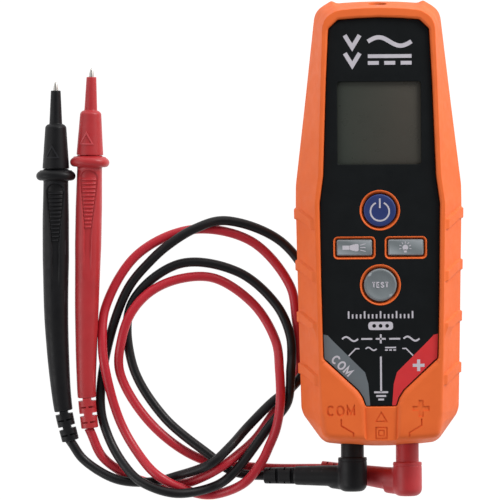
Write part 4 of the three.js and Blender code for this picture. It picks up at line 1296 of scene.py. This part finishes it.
def make_relief(color, end_name, line, start, radii, roll):
    """A segmented strain relief: side notches between the segments, and a split slit in each."""
    wide, slim = radii
    end = start + RELIEF_LENGTH
    profile = rounded_profile(
        [(start - 0.8, 0.2), (start - 0.8, 2.2), (start + 0.1, 2.2), (start + 0.1, wide), (end, slim),
         (end, 2.15), (end, 0.2)], 0.35, 3)
    relief = turned_on(f"{color}_{end_name}_sleeve", line, fine_profile(profile, 0.5), shape=squarish(0.06))
    cutters = []
    for k in range(SEGMENTS):
        notch = start + k * (NOTCH + SEGMENT) + NOTCH / 2
        slit = notch + NOTCH / 2 + SEGMENT / 2
        for side in (-1, 1):
            cutters.append(oriented_box("notch", line, notch, NOTCH_HALVES, roll, (side * NOTCH_ASIDE, 0)))
            for edge in (-1, 1):
                offset = (edge * SLIT_ASIDE, side * SLIT_UP)
                cutters.append(oriented_box("slit", line, slit, SLIT_HALVES, roll, offset))
    carve(relief, cutters)
    weigh_normals(relief, 32)
    dress(relief, color, f"{color}_lead", f"{color}_plastic", f"{color}_{end_name}_relief")


def fine_profile(profile, step):
    """A profile with extra rings wherever it runs further than a step."""
    found = [profile[0]]
    for before, here in zip(profile, profile[1:]):
        count = max(1, math.ceil(abs(here[0] - before[0]) / step))
        for k in range(1, count + 1):
            found.append(tuple(np.array(before) + (np.array(here) - np.array(before)) * k / count))
    return found


def squarish(amount):
    """A round section drawn a little towards a square."""
    def shape(s, angle, radius):
        return radius * (1 + amount * (math.cos(4 * angle) * -0.5 + 0.5) - amount * 0.5)
    return shape


GUARD = 38
GUARD_HALF = 2.1
GUARD_RADIUS = 8.2
GUARD_LEAN = 0.45
GUARD_END = GUARD + 2.3
ROOT_R = 5.2  # the barrel's radius where the guard stands on it
THUMB_START = GUARD + 3.1
THUMB_LENGTH = 46
THUMB_END = THUMB_START + THUMB_LENGTH
THUMB_DEPTH = 0.75
THUMB_HALF_WIDTH = 3.75
THUMB_NARROWING = 2.3
THUMB_ANGLES = [
    *np.radians(np.linspace(30, 150, 72, endpoint=False)),
    *np.radians(np.linspace(150, 390, 44, endpoint=False))]
SLOT_PITCH = 1.6
SLOTS = 13
SLOT_DEPTH = 0.62
BARREL = ((GUARD + 2.1, ROOT_R), (44, 5.25), (56, 5.5), (72, 5.5), (80, 5.3), (96, 5), (114, 4.5),
          (125, 4.1), (BODY_END, 3.85))


def round_end(distance, reach):
    """How wide a shape is at a distance into its half-round end: 0 at the very end and then 1."""
    return math.sqrt(max(1 - max(1 - distance / reach, 0) ** 2, 0))


def thumb_recess(s, angle, radius):
    """The barrel's radius, sunk where the thumb lies on its top, with cross ribs in the recess."""
    radius = squarish(0.05)(s, angle, radius)
    along = s - THUMB_START
    left = THUMB_LENGTH - along
    if along <= 0 or left <= 0 or math.sin(angle) < 0:
        return radius
    across = abs(radius * math.cos(angle))
    half = THUMB_HALF_WIDTH - THUMB_NARROWING * smoothstep(along / 30)
    half = half * round_end(along, 3.4) * round_end(left, 3)
    shallow = float(smoothstep(left / 16))
    depth = THUMB_DEPTH * shallow
    slot_zone = along - 3.2
    if 0 < slot_zone < SLOT_PITCH * SLOTS:
        rib = 0.5 - 0.5 * math.cos(2 * math.pi * slot_zone / SLOT_PITCH)
        within = smoothstep((half - 0.35 - across) / 0.4 + 0.5)
        depth -= SLOT_DEPTH * within * rib ** 1.4 * shallow
    return radius - depth * smoothstep((half - across) / 0.45 + 0.5)


def guard_sweep(s, angle, radius):
    """The guard's two wings lean back a little."""
    if not GUARD - 2 < s < GUARD_END:
        return 0
    return GUARD_LEAN * (math.cos(angle) ** 2 - 0.35) * min(max((radius - ROOT_R) / 2.2, 0), 1)


def barrel_rings(start, end, step):
    places, radii = zip(*BARREL)
    return [(s, float(np.interp(s, places, radii))) for s in np.arange(start, end, step)]


def make_probe_body(color, line):
    """The barrel with its finger guard, and the nose that the cap fits over."""
    profile = [(NOSE_START, 0.3), (NOSE_START, 3), (SHOULDER, 3), (SHOULDER, 5)]
    for a in np.radians(np.linspace(4, 176, 19)):
        rise = (GUARD_RADIUS - ROOT_R) * math.sin(a) ** 0.8
        profile.append((GUARD - 0.1 - GUARD_HALF * math.cos(a), ROOT_R + rise))
    profile += barrel_rings(GUARD_END, THUMB_START, 0.4)
    profile += barrel_rings(THUMB_START, THUMB_END, 0.17)
    profile += barrel_rings(THUMB_END, BODY_END - 0.8, 1.5)
    profile += [(BODY_END - 0.5, 3.85), (BODY_END - 0.15, 3.75), (BODY_END, 3.45), (BODY_END, 0.3)]
    piece = turned_on(
        f"{color}_probe_handle", line, profile, angles=THUMB_ANGLES, shape=thumb_recess,
        sweep=guard_sweep, sharp=50)
    dress(piece, color, f"{color}_lead", f"{color}_plastic", f"{color}_probe_body")


CONE = ((18.3, 4.3), (CAP_END, 5.45))
CAP_OUTSIDE = [
    (CAP_START, 1.35), (CAP_START, 2), (17.1, 2.62), (17.35, 3.5), *CONE, (CAP_END, 3.35)]
CAP_INSIDE = [(29, 3.35), (29, 1.35), (15, 1.35), (CAP_START, 1.35)]


def cone_radius(s):
    (start, narrow), (end, wide) = CONE
    return narrow + (wide - narrow) * (s - start) / (end - start)


def make_cap(color, line):
    """The cap over the probe's tip, with a plain raised triangle on its cone."""
    profile = fine_profile(rounded_profile(CAP_OUTSIDE, 0.4, 5), 0.8) + CAP_INSIDE
    piece = turned_on(f"{color}_tip_cap", line, profile, 64, sharp=50, loop=True)
    dress(piece, color, f"{color}_cap", f"{color}_plastic", f"{color}_probe_cap")
    triangle = dense([(1.4, -26.1), (-1.2, -30.6), (4, -30.6)], 0.4)
    mark = on_cone(stroke(triangle, 0.55, -0.2, 0.26, closed=True), line)
    dress(joined(f"{color}_tip_mark", [mark]), color, f"{color}_cap", f"{color}_plastic")


def dense(corners, step):
    """A closed polygon with its sides split into short steps."""
    found = []
    for here, onward in zip(corners, corners[1:] + corners[:1]):
        here, onward = np.array(here, float), np.array(onward, float)
        count = math.ceil(np.linalg.norm(onward - here) / step)
        found += [tuple(here + (onward - here) * k / count) for k in range(count)]
    return found


def on_cone(part, line):
    """A flat mark wrapped on the top of the cap's cone: x runs sideways and -y along the line."""
    vertices, faces = part
    wrapped = []
    for x, y, z in vertices:
        place, side, up = line.frame(-y)
        radius = cone_radius(-y)
        angle = math.pi / 2 - x / radius
        reach = radius + z
        wrapped.append(place + side * (reach * math.cos(angle)) + up * (reach * math.sin(angle)))
    return wrapped, faces


def make_tip(color, line):
    """The nickel pin of a probe, ground to a point."""
    end = GUARD - 0.4
    profile = [(0, 0.05), (0.08, 0.28), (0.3, 0.48), (1, 0.66), (2, 0.88), (3, 1.02), (3.6, TIP_R)]
    profile += [(s, TIP_R) for s in np.arange(4, end, 2)] + [(end, TIP_R), (end, 0.2)]
    piece = turned_on(f"{color}_probe_point", line, profile, 28, sharp=60)
    dress(piece, "nickel", f"{color}_lead", "nickel", f"{color}_probe_tip")


def make_plug(color, x, collar_y, shroud_y, line, radii):
    """A right-angle plug: the elbow is one melted form, the shroud and the pin are turned."""
    tail = line.length - RELIEF_LENGTH
    wide, slim = radii
    y = collar_y
    elbow = turned_straight("collar", x, rounded_profile([
        (y - 13.9, 0.2), (y - 13.9, 3.6), (y - 13.1, 5), (y - 11.6, 5.9), (y - 0.9, 5.85), (y - 0.9, 0.2)],
        0.8, 5))
    sleeve = turned_on("sleeve", line, [
        (0, 0.2), (0, wide), (tail * 0.4, wide), (tail - 0.5, slim), (tail, slim - 0.4), (tail, 0.2)], 40)
    heel = cylinder("heel", (x, y - 9.6, 16.8), (x - 8.2, y - 8.6, 12.6), 4.2)
    carve(elbow, [sleeve, heel], "UNION")
    melt(elbow, 0.3, 22)
    carve(elbow, [turned_straight("well", x, [(y - 7, 0.1), (y - 7, 2.3), (y + 2, 2.3), (y + 2, 0.1)])])
    weigh_normals(elbow, 55)
    elbow.name = f"{color}_plug_elbow"
    shroud = turned_straight(f"{color}_plug_shroud", x, rounded_profile([
        (y - 2.2, 3.75), (y - 2.2, 5.7), (y - 1.3, 5.7), (y - 1.25, 5.9), (y - 0.1, 5.75), (y + 0.02, 4.65),
        (shroud_y, 4.6), (shroud_y, 3.75), (y - 2.2, 3.75)], 0.22, 3), loop=True)
    for piece in (elbow, shroud):
        dress(piece, color, f"{color}_lead", f"{color}_plastic", f"{color}_plug_body")
    tip_y = shroud_y - 1.2
    pin = turned_straight(f"{color}_plug_prong", x, rounded_profile(
        [(y - 6.7, 0.2), (y - 6.7, 2), (tip_y - 1.8, 2), (tip_y, 1.2), (tip_y, 0.1)], 0.3, 3))
    carve(pin, [pin_slot(x, y + 4, tip_y - 3.3, *half) for half in ((0.18, 3), (3, 0.18))])
    dress(pin, "nickel", f"{color}_lead", "nickel", f"{color}_plug_pin")


def pin_slot(x, low_y, high_y, half_x, half_z):
    """A box round the jack's axis that cuts a slot through a plug's pin."""
    return prism("slot", [
        (x - half_x, high_y), (x + half_x, high_y), (x + half_x, low_y), (x - half_x, low_y)],
        PARTING_Z - half_z, PARTING_Z + half_z)


def turned_straight(name, x, profile, loop=False):
    """A profile of (y, radius) pairs turned about the jack's axis."""
    rings = [
        [(x + radius * math.cos(a), y, PARTING_Z + radius * math.sin(a)) for a in full_turn(64)]
        for y, radius in (profile[:-1] if loop else profile)]
    return new_mesh(name, *skin(rings, loop), sharp=55)


def melt(obj, voxel, rounds):
    """Joins overlapping forms into one skin and softens the corners between them."""
    remesh = obj.modifiers.new("melt", "REMESH")
    remesh.mode = "VOXEL"
    remesh.voxel_size = voxel * MM
    soften = obj.modifiers.new("soften", "SMOOTH")
    soften.factor = 0.5
    soften.iterations = rounds
    settle(obj)


def make_lead(color, x, collar_y, shroud_y, arm, radii, axis):
    """A whole lead but for its cord: the plug and its relief, the probe and its relief, cap and tip."""
    arm = Line(arm)
    make_plug(color, x, collar_y, shroud_y, arm, radii)
    make_relief(color, "plug", arm, arm.length - RELIEF_LENGTH, (3.55, 3.35), 90)
    probe = Line(axis)
    make_probe_body(color, probe)
    make_relief(color, "probe", probe, BODY_END, (3.72, 3.6), 0)
    make_cap(color, probe)
    make_tip(color, probe)


# ---------- carried-over CAD pieces

CAD_LOOKS = {
    "board": ("circuit_board",),
    "black": ("buzzer", "display_frame", "jack_block", "power_switch", "gfci_switch", "worklight_switch",
              "backlight_switch"),
    "white": ("backlight_diffuser", "load_resistor", "worklight_led"),
    "grey_key": ("display_connector",),
    "lcd": ("display_glass",),
    "cell": ("cell_1", "cell_2"),
    "nickel": ("cell_spring_1", "cell_spring_2", "contact_bridge", "contact_positive", "contact_negative"),
    "brass": ("jack_com", "jack_plus"),
}


def dress_cad_pieces():
    for material, nodes in CAD_LOOKS.items():
        for node in nodes:
            bpy.data.objects[node].material_slots[0].material = MATERIALS[material]


make_front()
make_collars()
make_rear()
make_door()
make_label()
make_screws()
make_panel()
make_print()
make_display()
make_round_keys()
make_flat_keys()
make_light()
make_lead("black", -11.3, -94.6, -72, BLACK_ARM, (4.25, 3.85), BLACK_PROBE_AXIS)
make_lead("red", 10.9, -96.6, -74, RED_ARM, (4.55, 3.85), RED_PROBE_AXIS)
dress_cad_pieces()


# ---------- the studio

FLOOR_HALF = 1500


def make_floor():
    """White paper lit from behind, as in a light tent."""
    half = FLOOR_HALF
    floor = new_mesh(
        "floor", [(-half, -half, 0), (half, -half, 0), (half, half, 0), (-half, half, 0)], [(0, 1, 2, 3)])
    made, principled, place = shader("floor_paper")
    feed(principled, "Base Color", mixed(ranged(noise(place, 60), 0, 1), (0.08,) * 3, (0.07,) * 3))
    principled.inputs["Roughness"].default_value = 0.9
    principled.inputs["Emission Color"].default_value = (1, 1, 1, 1)
    principled.inputs["Emission Strength"].default_value = 1.0
    floor.data.materials.append(made)


def light(name, location, target, size, power):
    """A square area light, placed and aimed in metres."""
    data = bpy.data.lights.new(name, "AREA")
    data.size = size
    data.energy = power
    lamp = bpy.data.objects.new(name, data)
    lamp.location = location
    lamp.rotation_euler = (Vector(target) - Vector(location)).to_track_quat("-Z", "Y").to_euler()
    bpy.context.scene.collection.objects.link(lamp)


def make_studio():
    """A light tent: bright all round, dark overhead, with a soft key light from the upper right."""
    world = bpy.data.worlds.new("studio")
    bpy.context.scene.world = world
    world.use_nodes = True
    nodes = world.node_tree.nodes
    background = nodes["Background"]
    direction = split(nodes.new("ShaderNodeTexCoord").outputs["Generated"])
    walls = mixed(ranged(direction["Y"], 0, 1, -0.7, 0.7), (0.5, 0.5, 0.51), (1.15, 1.15, 1.15))
    overhead = ranged(direction["Z"], 0, 1, 0.5, 0.86)
    feed(background, "Color", mixed(overhead, walls, (0.22, 0.22, 0.225)))
    background.inputs["Strength"].default_value = 1.0
    light("key", (0.56, 0.62, 0.42), (0, 0, 0.02), 0.3, 5.9)
    light("fill", (-0.8, -0.3, 0.5), (-0.05, 0, 0.02), 0.5, 2)
    bpy.context.scene.view_settings.view_transform = "Standard"


make_floor()
make_studio()

for color, cord, path, route, length in (
        ("red", RED_CORD, RED_PATH, RED_ROUTE, 0.637),
        ("black", BLACK_CORD, BLACK_PATH, BLACK_ROUTE, 0.635)):
    dress(cord, f"{color}_cord", f"{color}_lead", f"{color}_cord", f"{color}_cord")
    [c * MM for c in route[-1]]
    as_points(path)
